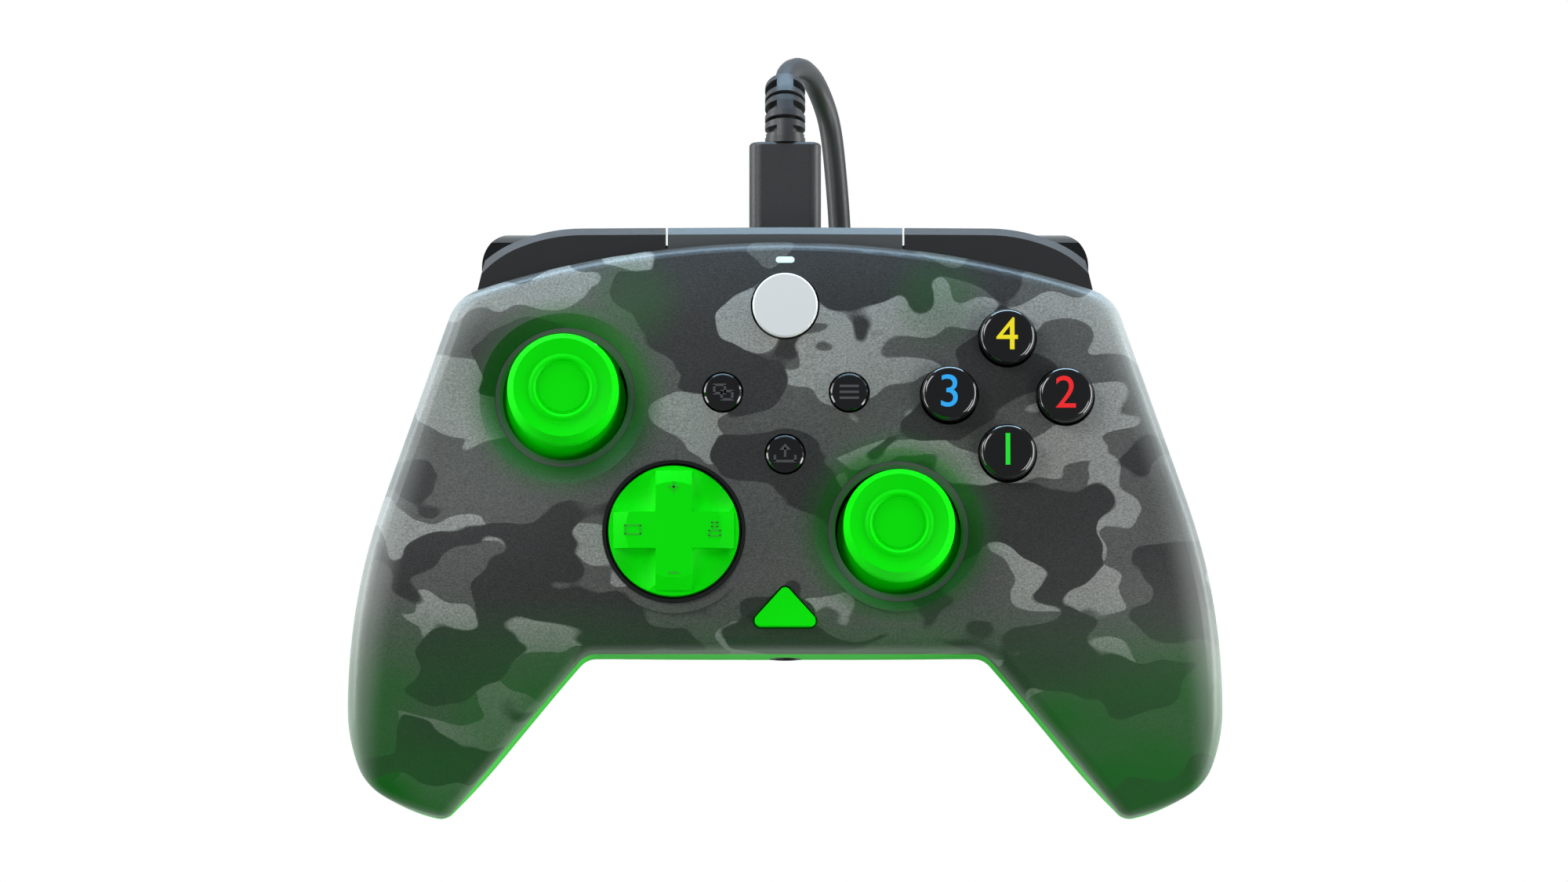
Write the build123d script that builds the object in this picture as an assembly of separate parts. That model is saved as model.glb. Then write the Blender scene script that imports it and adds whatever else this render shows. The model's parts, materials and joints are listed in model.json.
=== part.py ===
from build123d import *
import math
import os

# A wired gamepad, modelled face up in its own frame: X to the right, Y towards the cable,
# Z out of the face, millimetres. Heights are measured from the middle of the face until the
# end of the script, where every piece is moved so that the gamepad stands on Z = 0.

# Whole body
half_width = 77.5
grip_reach = 64.0
shell_top_y = 36.2
stand_height = 46.0
wall = 2.2
face_round, back_round = 3.0, 4.0
overrun = 12.0
surface_tol = 0.02

# Plan outline, as shares of the half width and of the reach of the grips or the upper edge
shoulder_shares = (0.750, 0.733)
flank_shares = (0.915, -0.148)
side_shares = ((1.0, -0.711), (0.979, -0.862), (0.920, -0.944), (0.777, -1.003))
crotch_shares = (0.455, -0.569)
shoulder_round = 8.0
tip_round = 3.0
crotch_round = 4.0

# Curved face: crown across, fall towards the upper edge, droop of the grips
crown_radius = 450.0
brow_y = 20.0
brow_radius = 36.0
grip_start_y = -15.0
droop_radius = 59.0
bend_width = 6.0

# Curved back: flanks, belly, palm swellings and humps behind the triggers
flank_depth = 21.0
belly_extra = 5.0
belly_half = 40.0
palm_inset, palm_y = 19.5, -42.0
palm_x = half_width - palm_inset
palm_half_width, palm_half_length, palm_depth = 12.5, 26.0, 24.8
palm_turn = 12.0
hump_x, hump_y = 46.5, 9.0
hump_half_width, hump_half_length, hump_depth = 10.5, 12.0, 23.8

# Parting line seen from the side
parting_z = -9.0
parting_bend_y = -18.0
parting_mid_y, parting_mid_z = -42.0, -15.5
parting_tip_z = -29.5

# Sticks
stick_x, stick_y = 39.0, 8.1
lower_stick_x, lower_stick_y = 20.0, -15.9
stick_pivot_z = -11.0
stick_cap_r = 9.8
stick_cap_z0, stick_cap_z1 = 3.6, 10.4
stick_rim_r = 8.7
stick_dish_r = 4.8
stick_dish_depth = 1.1
stick_side_step = 1.2
stick_hub_r = 3.4
stick_dome_r = 11.5
stick_dome_wall = 1.0
stick_dome_reach = 70.0
stick_press = 0.5
bowl_r = 15.5
ring_outer_r, ring_inner_r = 12.4, 11.1
ring_depth, ring_height = 1.5, 1.9
bowl_wall = 1.8
post_r, post_top_z, post_tail = 1.25, 7.0, 2.2
cross_pin_r = 0.6
module_side, module_wall = 13.4, 0.8
module_top_z = -7.5
module_well_r = 5.9
module_floor = 1.5
pot_side, pot_length, pot_top_z = 3.6, 8.0, -11.8
yoke_length, yoke_width, yoke_height = 7.0, 5.2, 4.0
yoke_slot_length, yoke_slot_width = 4.6, 2.9
trunnion_r = 1.0

# Direction pad
pad_x, pad_y = -19.6, -16.0
pad_r = 11.5
pad_rim_z0, pad_rim_z1 = -2.6, 0.3
pad_cross_z = 1.7
pad_arm_width = 6.4
pad_arm_reach = 10.6
pad_skin = 1.3
pad_facet_depth, pad_facet_r, pad_facet_x = 1.1, 4.5, 6.65
pad_ring_r0, pad_ring_r1 = 12.0, 12.6
pad_ring_height = 2.9
pad_well_depth = 3.6
pad_pivot_z = -1.8
pad_spider_core, pad_spider_reach, pad_spider_r = 2.4, 3.5, 0.7
pad_ear_gap, pad_ear_width, pad_ear_height = 2.6, 2.4, 1.1
pad_leg_r, pad_leg_circle, pad_leg_z = 1.1, 8.0, -11.6

# Face buttons and the small buttons
cluster_x, cluster_y = 39.2, 8.2
cluster_pitch = 10.25
face_button_r = 4.9
face_button_z = 1.9
button_dome = 1.1
button_gap = 0.35
button_foot_r = 3.0
button_travel = 1.2
guide_y, guide_r, guide_z = 24.1, 5.75, 0.4
small_button_r, small_button_z = 3.3, 0.5
view_x, menu_x, small_row_y = -11.0, 11.3, 8.6
share_y = -2.4
small_travel = 0.7
triangle_half, triangle_top_y, triangle_base_y = 6.6, -25.4, -32.7
triangle_z, triangle_round = -0.9, 1.0
flange_out, flange_height = 0.9, 1.0
collar_wall, collar_z = 1.1, -6.6
light_y, light_length, light_width = 32.6, 3.3, 1.1
light_z0, light_z1 = -6.1, -2.6

# Bridge, bumpers and triggers
bridge_half, front_y = 20.8, 39.2
brim_z = -6.3
band_top_z, band_bottom_z = -6.6, -16.2
band_chamfer = 1.4
band_gap = 0.35
bumper_travel = 0.9
bumper_bend_x, bumper_bend_y = 36.0, 39.0
bumper_knee_x, bumper_knee_y = 48.0, 36.5
bumper_hip_x, bumper_hip_y = 53.2, 33.2
bumper_end_x, bumper_end_y = 54.8, 26.4
bumper_depth = 3.4
hinge_x, hinge_y, hinge_pin_r = 24.4, 34.4, 1.2
tongue_z0, tongue_z1, tongue_half = -12.8, -10.4, 1.9
hinge_pin_z0, hinge_pin_z1 = -14.6, -8.6
trigger_x0, trigger_x1 = 34.2, 54.0
trigger_pivot_y, trigger_pivot_z = 22.5, -20.5
trigger_pin_r = 1.5
spring_gap, spring_wire, spring_half = 0.15, 0.6, 4.5
trigger_skin = 1.9
trigger_top_z, trigger_tip_z = -17.2, -42.3
trigger_round = 6.5
pocket_x0, pocket_x1, pocket_y, pocket_top_z = 33.5, 55.6, 18.4, -16.0
pocket_wall = 2.0

# Inside
board_top_z, board_thick = -17.0, 1.6
board_inset, board_neck, board_y0, board_y1, board_step_y = 25.5, 29.5, -33.0, 30.0, 13.0
board_half = half_width - board_inset
upper_board_z, upper_board_thick, upper_dome_z = -14.4, 1.2, -11.9
screw_x, screw_y, middle_screw_y = 20.4, 19.0, -13.9
grip_screw_inset, grip_screw_y = 16.5, -48.5
grip_screw_x = half_width - grip_screw_inset
board_screw_places = ((34.0, -30.0), (22.0, 10.0))
board_screw_r, board_screw_head_r, board_screw_head = 0.9, 1.7, 1.0
switch_side, low_switch, plunger_r = 4.8, 1.5, 1.2
boss_r, boss_hole_r, screw_r, screw_head_r = 3.0, 1.2, 1.15, 2.3
screw_head_height, screw_length = 1.8, 9.0
recess_r = 2.8
fit = 0.05
rest_gap = 0.3
membrane_thick, membrane_dome_z = 1.0, -13.4
membrane_dome_r = 3.6

# USB socket, plug and headset jack
socket_width, socket_height, socket_length, socket_wall = 9.0, 3.3, 7.5, 0.35
socket_mouth_y = 34.6
tongue_width, tongue_height, tongue_length = 8.2, 2.4, 6.0
plug_y0, plug_y1 = 35.0, 56.1
plug_width, plug_height, plug_edge = 12.8, 6.6, 2.2
port_gap = 0.4
port_z = board_top_z - board_thick - fit - socket_height / 2
jack_bore_r, jack_width, jack_height, jack_length = 1.78, 7.0, 5.0, 13.0
jack_bore_depth = 12.0
jack_z = board_top_z - board_thick - fit - jack_height / 2

# Rumble motors
motor_inset, motor_y, motor_z = 20.5, -35.0, -25.5
motor_x = half_width - motor_inset
motor_r, motor_length = 6.0, 14.0
motor_shaft_r = 0.8
weight_r, weight_length, weight_hub_r = 7.6, 6.0, 2.0

# Rear paddles
paddle_x, paddle_y, paddle_turn = 41.5, -20.0, 68.0
paddle_length, paddle_width = 17.0, 7.5
paddle_stand, paddle_travel = 1.4, 0.9

# Cable
cable_r = 2.0
relief_bend_r, relief_turn = 15.7, 45.0
relief_r0, relief_r1, relief_core_r = 3.5, 2.7, 2.3
relief_ribs, relief_rib_width = 6, 1.25
lead_z = -44.0
lead_corners = (
    (0, 70.17, -27.9), (2.6, 72.12, -32.37), (4.8, 71.15, -37.9), (6.8, 67.6, -42.0),
    (8.3, 62.8, lead_z), (9.2, 54.0, lead_z), (9.9, 44.5, lead_z),
)
lead_last_run = 12.0
coil_x, coil_y, coil_raise = 0.0, 2.0, 0.8
coil_base_r, coil_side_step, coil_pitch, coil_level = 28.8, 1.5, 4.65, 4.6
coil_half_turns, coil_levels = 7, 4
coil_axis = 45.0
tail_corners = ((-19.0, -25.4, -32.6), (-26.0, -21.7, -36.8), (-31.5, -16.9, -40.3))
tail_first_run, tail_last_run = 6.7, 5.7
end_plug_x, end_plug_y, end_plug_z = -42.5, -15.0, -41.8
end_plug_length, end_plug_width, end_plug_height, end_plug_edge = 15.0, 15.5, 8.0, 2.5
end_shell_length, end_shell_width, end_shell_height, end_shell_wall = 12.0, 12.0, 4.5, 0.4
strap_width, strap_thick = 6.0, 0.5
cord_gap = 0.3


def spread(point):
    """A point given as shares of the outline, in millimetres."""
    share_x, share_y = point
    reach = shell_top_y if share_y > 0 else grip_reach
    return (share_x * half_width, share_y * reach)


def outline():
    """Plan outline of the whole body, as one flat face."""
    shoulder = spread(shoulder_shares)
    crotch = spread(crotch_shares)
    flank = Line(shoulder, spread(flank_shares))
    half = [flank]
    for point in side_shares:
        half.append(TangentArc(half[-1] @ 1, spread(point), tangent=half[-1] % 1))
    half.append(Line(half[-1] @ 1, crotch))
    top = ThreePointArc((-shoulder[0], shoulder[1]), (0, shell_top_y), shoulder)
    bottom = Line((-crotch[0], crotch[1]), crotch)
    loop = [top] + half + [bottom] + [mirror(edge, Plane.YZ) for edge in half]
    face = Face(Wire([edge.edge() for edge in loop]))
    by_y = face.vertices().sort_by(Axis.Y)
    face = face.fillet_2d(tip_round, by_y[:2])
    corners = [v for v in face.vertices() if abs(v.Y - crotch[1]) < wall / 4]
    face = face.fillet_2d(crotch_round, [v for v in corners if abs(abs(v.X) - crotch[0]) < wall])
    corners = [v for v in face.vertices() if abs(v.Y - shoulder[1]) < wall / 4]
    return face.fillet_2d(shoulder_round, corners)


def past(distance):
    """Distance past a bend, rising smoothly from nothing over the bend's width."""
    return (distance + math.hypot(distance, bend_width)) / 2


def face_height(x, y):
    crown = x * x / (2 * crown_radius)
    brow = past(y - brow_y) ** 2 / (2 * brow_radius)
    droop = past(grip_start_y - y) ** 2 / (2 * droop_radius)
    return -crown - brow - droop


def swelling(x, y, centre_x, centre_y, half_x, half_y, depth, turn=0.0):
    """A smooth bump on the back, as deep as it says at its centre."""
    angle = math.radians(turn)
    dx, dy = x - centre_x, y - centre_y
    across = (dx * math.cos(angle) + dy * math.sin(angle)) / half_x
    along = (dy * math.cos(angle) - dx * math.sin(angle)) / half_y
    return depth * math.exp(-across * across - along * along)


def back_height(x, y):
    x = abs(x)
    palm = swelling(x, y, palm_x, palm_y, palm_half_width, palm_half_length, palm_depth, palm_turn)
    hump = swelling(x, y, hump_x, hump_y, hump_half_width, hump_half_length, hump_depth)
    return -flank_depth - belly_extra * math.exp(-((x / belly_half) ** 4)) - palm - hump


def height_surface(height, shift, columns, rows):
    """A smooth surface over the whole plan, through heights taken on an even grid."""
    x_reach = half_width + overrun / 2
    y_low, y_high = -grip_reach - overrun / 2, shell_top_y + overrun
    grid = []
    for j in range(rows + 1):
        y = y_low + (y_high - y_low) * j / rows
        xs = [x_reach * (2 * i / columns - 1) for i in range(columns + 1)]
        grid.append([Vector(x, y, height(x, y) + shift) for x in xs])
    return Face.make_surface_from_array_of_points(grid, tol=surface_tol, min_deg=3, max_deg=5)


def under(height, shift, columns=24, rows=20):
    depth = 2 * stand_height
    return extrude(height_surface(height, shift, columns, rows), amount=depth, dir=(0, 0, -1))


def over(height, shift, columns=42, rows=28):
    depth = 2 * stand_height
    return extrude(height_surface(height, shift, columns, rows), amount=depth, dir=(0, 0, 1))


def column(face, z0, z1):
    """A flat face made solid between two heights."""
    return Pos(0, 0, z0) * extrude(face, amount=z1 - z0, dir=(0, 0, 1))


def rod(x, y, radius, z0, z1):
    return Pos(x, y, (z0 + z1) / 2) * Cylinder(radius, z1 - z0)


def slab(x0, x1, y0, y1, z0, z1):
    return Pos((x0 + x1) / 2, (y0 + y1) / 2, (z0 + z1) / 2) * Box(x1 - x0, y1 - y0, z1 - z0)


def both(part):
    """The piece and its mirror image, for a piece on each side."""
    return part + mirror(part, Plane.YZ)


def body_form(inset):
    """The whole outer form with rounded rims, or the space inside it, drawn in by a wall."""
    plan = outline()
    if inset > 0:
        plan = offset(plan, amount=-inset).faces()[0]
    form = column(plan, -stand_height - overrun, overrun)
    form = (form & under(face_height, -inset) & over(back_height, inset)).solids()[0]
    if inset > 0:
        return form
    for side, rounding in ((-1, back_round), (1, face_round)):
        broad = [f for f in form.faces() if f.normal_at().Z * side > 0.7]
        rim = max(broad, key=lambda f: f.area).edges()
        form = form.fillet(rounding, rim).solids()[0]
    return form


def above_parting():
    """Everything on the face side of the parting line."""
    y0, y1 = -grip_reach - overrun, front_y + overrun
    bend = (parting_bend_y, parting_z)
    line = Line((y1, parting_z), bend)
    tip = (-grip_reach, parting_tip_z)
    curve = Spline(bend, (parting_mid_y, parting_mid_z), tip, tangents=[(-1, 0), (-1, -0.9)])
    end = Line(curve @ 1, (y0, parting_tip_z - overrun))
    rest = Polyline((y0, parting_tip_z - overrun), (y0, overrun), (y1, overrun), (y1, parting_z))
    face = Plane.YZ * make_face([line, curve, end, rest])
    return extrude(face, amount=half_width + overrun, both=True)


def band_outline(grow=0.0):
    """Plan outline of the bridge and both bumpers together, in front of the shells' rim."""
    straight = Line((0, front_y), (bumper_bend_x, bumper_bend_y))
    knee = TangentArc(straight @ 1, (bumper_knee_x, bumper_knee_y), tangent=straight % 1)
    hip = TangentArc(knee @ 1, (bumper_hip_x, bumper_hip_y), tangent=knee % 1)
    end = Line(hip @ 1, (bumper_end_x, bumper_end_y))
    inner_mid = (bridge_half, inner_edge_y(bridge_half))
    inner = ThreePointArc(end @ 1, inner_mid, (0, inner_edge_y(0)))
    half = [straight, knee, hip, end, inner]
    face = Face(Wire([e.edge() for e in half] + [mirror(e, Plane.YZ).edge() for e in half]))
    if grow > 0:
        face = offset(face, amount=grow).faces()[0]
    return face


def inner_edge_y(x):
    """Inner edge of the band: an arc that falls with the shells' upper edge."""
    drop = (shell_top_y - bumper_depth - bumper_end_y) * (x / bumper_end_x) ** 2
    return shell_top_y - bumper_depth - drop


def band_zone():
    """Space that the bridge and bumpers take out of both shells, open towards the cable."""
    zone = column(band_outline(band_gap), band_bottom_z - band_gap, brim_z)
    return zone + Pos(0, -bumper_travel, 0) * zone


def screw_places():
    """Axes of the shell screws: two in the grips, two behind the bumpers, one in the middle."""
    pairs = ((grip_screw_x, grip_screw_y), (screw_x, screw_y))
    return [(side * x, y) for x, y in pairs for side in (1, -1)] + [(0, middle_screw_y)]


def screw_seat_z(x, y):
    """Height where the boss of the front shell meets the post of the back shell."""
    low = board_top_z - board_thick - rest_gap
    if abs(x) > board_half:
        low = (face_height(x, y) + back_height(x, y)) / 2
    return low


def face_plane(x, y):
    """Plane that touches the face, for recesses and rings that lean with it."""
    step = surface_tol
    slope_x = (face_height(x + step, y) - face_height(x - step, y)) / (2 * step)
    slope_y = (face_height(x, y + step) - face_height(x, y - step)) / (2 * step)
    return Plane(origin=(x, y, face_height(x, y)), x_dir=(1, 0, slope_x), z_dir=(-slope_x, -slope_y, 1))


def rim_low(x, y, radius):
    """Lowest height of the face on a circle."""
    angles = [math.tau * i / 24 for i in range(24)]
    return min(face_height(x + radius * math.cos(a), y + radius * math.sin(a)) for a in angles)


def guide_tube(x, y, radius):
    outer_r = radius + button_gap + collar_wall
    return rod(x, y, outer_r, collar_z, rim_low(x, y, outer_r) - surface_tol * 5)


def button_hole(x, y, radius):
    return rod(x, y, radius + button_gap, -stand_height / 2, overrun)


def face_button_places():
    """Centres of the four face buttons, in the order top, left, right, bottom."""
    steps = ((0, 1), (-1, 0), (1, 0), (0, -1))
    return [(cluster_x + a * cluster_pitch, cluster_y + b * cluster_pitch) for a, b in steps]


def round_holes():
    """Centre and radius of every round button in the face."""
    holes = [(x, y, face_button_r) for x, y in face_button_places()]
    holes.append((0, guide_y, guide_r))
    for x, y in ((view_x, small_row_y), (menu_x, small_row_y), (0, share_y)):
        holes.append((x, y, small_button_r))
    return holes


def triangle_face(grow=0.0):
    """The triangular button, or its hole, as a flat face with rounded corners."""
    points = ((-triangle_half, triangle_base_y), (triangle_half, triangle_base_y), (0, triangle_top_y))
    face = make_face(Polyline(*points, close=True))
    face = face.faces()[0].fillet_2d(triangle_round, face.vertices())
    if grow > 0:
        face = offset(face, amount=grow).faces()[0]
    return face


def slot_face(length, width):
    return SlotOverall(length, width).face()


def stick_places():
    return ((-stick_x, stick_y), (lower_stick_x, lower_stick_y))


def front_shell(hollow, upper):
    """Face, side walls, guide tubes, stick bowls, pad well and screw bosses in one moulding."""
    shell = hollow & upper
    ring_foot = ring_depth + ring_height
    top = -wall / 3
    for x, y in stick_places():
        collar = rod(0, 0, ring_outer_r + bowl_wall, -ring_foot - bowl_wall / 2, top)
        shell += face_plane(x, y) * collar
    shell += face_plane(pad_x, pad_y) * rod(0, 0, pad_ring_r1 + bowl_wall, -pad_well_depth, top)
    for x, y, radius in round_holes():
        shell += guide_tube(x, y, radius)
    shell += column(triangle_face(button_gap + collar_wall), collar_z, rim_low(0, triangle_base_y, wall) - wall / 3)
    for x, y in screw_places():
        shell += rod(x, y, boss_r, screw_seat_z(x, y), rim_low(x, y, boss_r) - wall / 3)
    slope = (bowl_r - ring_outer_r) / ring_depth
    reach = overrun / 2
    for x, y in stick_places():
        cone = Cone(ring_outer_r, bowl_r + slope * reach, ring_depth + reach)
        bowl = Pos(0, 0, (reach - ring_depth) / 2) * cone
        bowl += rod(0, 0, ring_outer_r + fit, -ring_foot - fit, reach)
        bowl += rod(0, 0, (ring_inner_r + ring_outer_r) / 2, -stand_height / 3, reach)
        shell -= face_plane(x, y) * bowl
    well = rod(0, 0, pad_ring_r1 + fit, -pad_ring_height - fit, reach)
    shell -= face_plane(pad_x, pad_y) * well
    shell -= rod(pad_x, pad_y, pad_ring_r0, -stand_height / 2, overrun)
    for x, y, radius in round_holes():
        shell -= button_hole(x, y, radius)
    shell -= column(triangle_face(button_gap), -stand_height / 2, overrun)
    light = Pos(0, light_y) * slot_face(light_length + 2 * fit, light_width + 2 * fit)
    shell -= column(light, -stand_height / 2, overrun)
    for x, y in screw_places():
        shell -= rod(x, y, boss_hole_r, screw_seat_z(x, y) - overrun, screw_seat_z(x, y) + screw_length)
    shell -= band_zone()
    return max(shell.solids(), key=lambda s: s.volume)


def paddle_face(grow=0.0):
    """One rear paddle in plan, slanted along the inner side of the palm swelling."""
    face = slot_face(paddle_length, paddle_width)
    if grow > 0:
        face = offset(face, amount=grow).faces()[0]
    return Pos(paddle_x, paddle_y) * Rot(0, 0, paddle_turn) * face


def plug_section(grow=0.0):
    """Section of the plug's grip across the cable, in a plane that faces the cable."""
    width, height = plug_width + 2 * grow, plug_height + 2 * grow
    return RectangleRounded(width, height, plug_edge).face()


def along_y(face, y0, y1, z, x=0.0):
    """A section drawn across the cable, made solid from one Y to another."""
    plane = Plane(origin=(x, y0, z), x_dir=(1, 0, 0), z_dir=(0, 1, 0))
    return extrude(plane * face, amount=y1 - y0, dir=(0, 1, 0))


def trigger_pin_span():
    return (pocket_x0 - pocket_wall, pocket_x1 + pocket_wall)


def pin_along_x(radius, x0, x1, y, z):
    return Pos((x0 + x1) / 2, y, z) * Rot(0, 90, 0) * Cylinder(radius, x1 - x0)


def back_shell(hollow, outer, upper):
    """Back, palm swellings, trigger pockets, screw posts and the ways out for plug and jack."""
    shell = hollow - upper
    x0, x1 = pocket_x0 - pocket_wall, pocket_x1 + pocket_wall
    lower = outer - upper
    for side in (1, -1):
        ends = sorted((side * x0, side * x1))
        lining = slab(ends[0], ends[1], pocket_y - pocket_wall, front_y, -stand_height - overrun, pocket_top_z)
        shell += lining & lower
    for x, y in screw_places():
        top = screw_seat_z(x, y)
        shell += rod(x, y, boss_r + wall / 2, back_height(x, y) + wall / 2, top)
    for x, y in board_screw_places:
        post = rod(x, y, board_screw_head_r + wall / 4, -stand_height, board_top_z - board_thick - fit)
        shell += both(post) & outer
    y0, y1 = motor_y + wall / 4, motor_y + motor_length - wall / 4
    cradle = slab(motor_x - motor_r, motor_x + motor_r, y0, y1, -stand_height, motor_z - motor_r / 2)
    shell += both(cradle) & outer
    room_y1 = motor_y + motor_length + rest_gap
    motor_room = along_y(Circle(motor_r + fit).face(), y0 - wall, room_y1, motor_z, motor_x)
    shell -= both(motor_room)
    for side in (1, -1):
        ends = sorted((side * pocket_x0, side * pocket_x1))
        shell -= slab(ends[0], ends[1], pocket_y, front_y + overrun, -stand_height - overrun, overrun)
    pins = pin_along_x(trigger_pin_r + fit, *trigger_pin_span(), trigger_pivot_y, trigger_pivot_z)
    shell -= both(pins)
    for x, y in screw_places():
        top = screw_seat_z(x, y)
        shell -= rod(x, y, recess_r, -stand_height - overrun, top - wall)
        shell -= rod(x, y, screw_r + fit, top - 2 * wall, top + wall)
    shell -= both(column(paddle_face(button_gap), -stand_height - overrun, parting_z * 2))
    for x, y in board_screw_places:
        shell -= both(rod(x, y, board_screw_r + fit, board_top_z - overrun / 2, 0))
    jack_hole = Circle(jack_bore_r + wall / 2).face()
    shell -= along_y(jack_hole, -grip_reach, spread(crotch_shares)[1] + 3 * wall, jack_z)
    shell -= along_y(plug_section(port_gap), shell_top_y - 3 * wall, front_y + overrun, port_z)
    shell -= band_zone()
    return max(shell.solids(), key=lambda s: s.volume)


def band():
    """Bridge and bumpers before they are cut apart, with a sloped upper rim."""
    block = column(band_outline(), band_bottom_z, band_top_z)
    rim = [e for e in block.edges().group_by(Axis.Z)[-1] if (e @ 0.5).Y > front_y - bumper_depth * 2]
    return chamfer([e for e in rim if (e @ 0.5).Y > inner_edge_y((e @ 0.5).X) + wall / 4], band_chamfer)


def top_bridge(whole_band):
    """Bridge over the cable port, with a tongue and hinge pin for each bumper."""
    bridge = whole_band & slab(-bridge_half, bridge_half, 0, front_y + overrun, -stand_height, 0)
    y0, y1 = hinge_y - tongue_half, hinge_y + tongue_half
    tongue = slab(bridge_half - wall, hinge_x, y0, y1, tongue_z0, tongue_z1)
    tongue += rod(hinge_x, hinge_y, tongue_half, tongue_z0, tongue_z1)
    tongue += rod(hinge_x, hinge_y, hinge_pin_r, hinge_pin_z0, hinge_pin_z1)
    return (bridge + both(tongue)).solids()[0]


def bumper(whole_band):
    """Right bumper, hung on the pin of the bridge's tongue."""
    x0 = bridge_half + band_gap
    piece = whole_band & slab(x0, half_width, 0, front_y + overrun, -stand_height, 0)
    slot_x, slot_y = hinge_x + tongue_half + band_gap, hinge_y + tongue_half + band_gap
    z0, z1 = tongue_z0 - rest_gap, tongue_z1 + rest_gap
    piece -= slab(0, slot_x, 0, slot_y, z0, z1)
    piece -= rod(hinge_x, hinge_y, hinge_pin_r + fit, hinge_pin_z0 - rest_gap, hinge_pin_z1 + rest_gap)
    return piece.solids()[0]


def trigger():
    """Right trigger: a hollow box with a curved blade, side cheeks and a hole for its pin."""
    top, tip = trigger_top_z, trigger_tip_z
    lug = trigger_pivot_y - 2 * trigger_pin_r
    shelf_z = trigger_pivot_z - 2 * trigger_pin_r
    crest_y, crest_z = front_y + wall / 4, top - 2 * trigger_skin
    waist_y, waist_z = front_y - 2 * trigger_skin, (top + tip) / 2 - trigger_skin
    toe_y = waist_y - trigger_skin / 2
    heel_y = toe_y - 1.6 * trigger_skin
    front = Spline((crest_y - trigger_skin, top), (crest_y, crest_z), (waist_y, waist_z), (toe_y, tip))
    toe = Line(front @ 1, (heel_y, tip))
    inner = Spline(toe @ 1, (waist_y - 1.7 * trigger_skin, waist_z), (waist_y - 2.2 * trigger_skin, shelf_z - trigger_skin))
    rest = Polyline(inner @ 1, (lug, shelf_z), (lug, top), front @ 0)
    profile = make_face([front, toe, inner, rest])
    piece = section_along_x(profile, trigger_x0, trigger_x1)
    room = Polyline((lug - wall, top - trigger_skin), (crest_y - 2 * trigger_skin, top - trigger_skin),
                    (crest_y - 2 * trigger_skin, crest_z), (waist_y - trigger_skin / 2, waist_z + wall), (lug - wall, waist_z), close=True)
    piece -= section_along_x(make_face(room), trigger_x0 + trigger_skin, trigger_x1 - trigger_skin)
    piece -= pin_along_x(trigger_pin_r + fit, trigger_x0 - wall, trigger_x1 + wall, trigger_pivot_y, trigger_pivot_z)
    piece -= spring_space(trigger_pin_r + spring_gap + spring_wire + rest_gap, spring_half + rest_gap)
    plan = Rectangle(trigger_x1 - trigger_x0, 2 * front_y).face()
    corner = plan.vertices().sort_by(Axis.Y)[-2:].sort_by(Axis.X)[-1]
    plan = plan.fillet_2d(trigger_round, [corner])
    lip = crest_y - front_y
    plan = Pos((trigger_x0 + trigger_x1) / 2, lip + wall / 8) * plan
    piece = piece & column(plan, tip - wall, top + wall)
    return piece.solids()[0]


def section_along_x(face, x0, x1):
    """A side profile, drawn as (Y, Z), made solid from one X to another."""
    plane = Plane(origin=(x0, 0, 0), x_dir=(0, 1, 0), z_dir=(1, 0, 0))
    return extrude(plane * face, amount=x1 - x0, dir=(1, 0, 0))


def trigger_pin():
    x0, x1 = trigger_pin_span()
    return pin_along_x(trigger_pin_r, x0, x1, trigger_pivot_y, trigger_pivot_z)


def trigger_spring():
    """Return spring, as the sleeve that its turns fill round the pin."""
    inner = trigger_pin_r + spring_gap
    outer, bore = [spring_space(radius, spring_half) for radius in (inner + spring_wire, inner)]
    return outer - bore


def spring_space(radius, half):
    middle = (trigger_x0 + trigger_x1) / 2
    return pin_along_x(radius, middle - half, middle + half, trigger_pivot_y, trigger_pivot_z)


def stick_ring(x, y):
    """Clear ring that lines the stick's hole at the foot of its bowl."""
    foot = -ring_depth - ring_height
    ring = rod(0, 0, ring_outer_r, foot, -ring_depth) - rod(0, 0, ring_inner_r, -overrun, 0)
    inner_edge = ring.edges().filter_by(GeomType.CIRCLE).group_by(Axis.Z)[-1].sort_by(SortBy.RADIUS)[0]
    return (face_plane(x, y) * chamfer(inner_edge, (ring_outer_r - ring_inner_r) / 2)).solids()[0]


def stick_cap(x, y):
    """Cap with a dished top, its hub on the post, and the dome that fills the ring, in one turn."""
    r, z0, z1 = stick_cap_r, stick_cap_z0, stick_cap_z1
    step, hub = stick_side_step, stick_hub_r
    outer_top = dome_point(stick_dome_r, math.asin(hub / stick_dome_r))
    top = Polyline(outer_top, (hub, z0), (r - step, z0), (r, z0 + step), (r, z1 - 2 * step), (stick_rim_r, z1))
    slope = Line(top @ 1, (stick_dish_r, z1 - stick_dish_depth * 0.6))
    dish_low = z1 - stick_dish_depth * 1.6
    dish = TangentArc((0, dish_low), slope @ 1, tangent=(1, 0))
    socket_r, socket_z = post_r + fit, post_top_z + stick_press + fit
    hub_z = stick_pivot_z + stick_dome_r - 4 * stick_dome_wall
    inner_r = stick_dome_r - stick_dome_wall
    inner_top = dome_point(inner_r, math.asin(hub / inner_r))
    core = Polyline(dish @ 0, (0, socket_z), (socket_r, socket_z), (socket_r, hub_z), (hub, hub_z), inner_top)
    reach = math.radians(stick_dome_reach)
    inside = ThreePointArc(inner_top, dome_point(inner_r, reach / 2), dome_point(inner_r, reach))
    lip = Line(inside @ 1, dome_point(stick_dome_r, reach))
    outside = ThreePointArc(lip @ 1, dome_point(stick_dome_r, reach / 2), outer_top)
    profile = make_face([top, slope, dish, core, inside, lip, outside])
    return Pos(x, y) * revolve(Plane.XZ * profile, Axis.Z).solids()[0]


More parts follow.
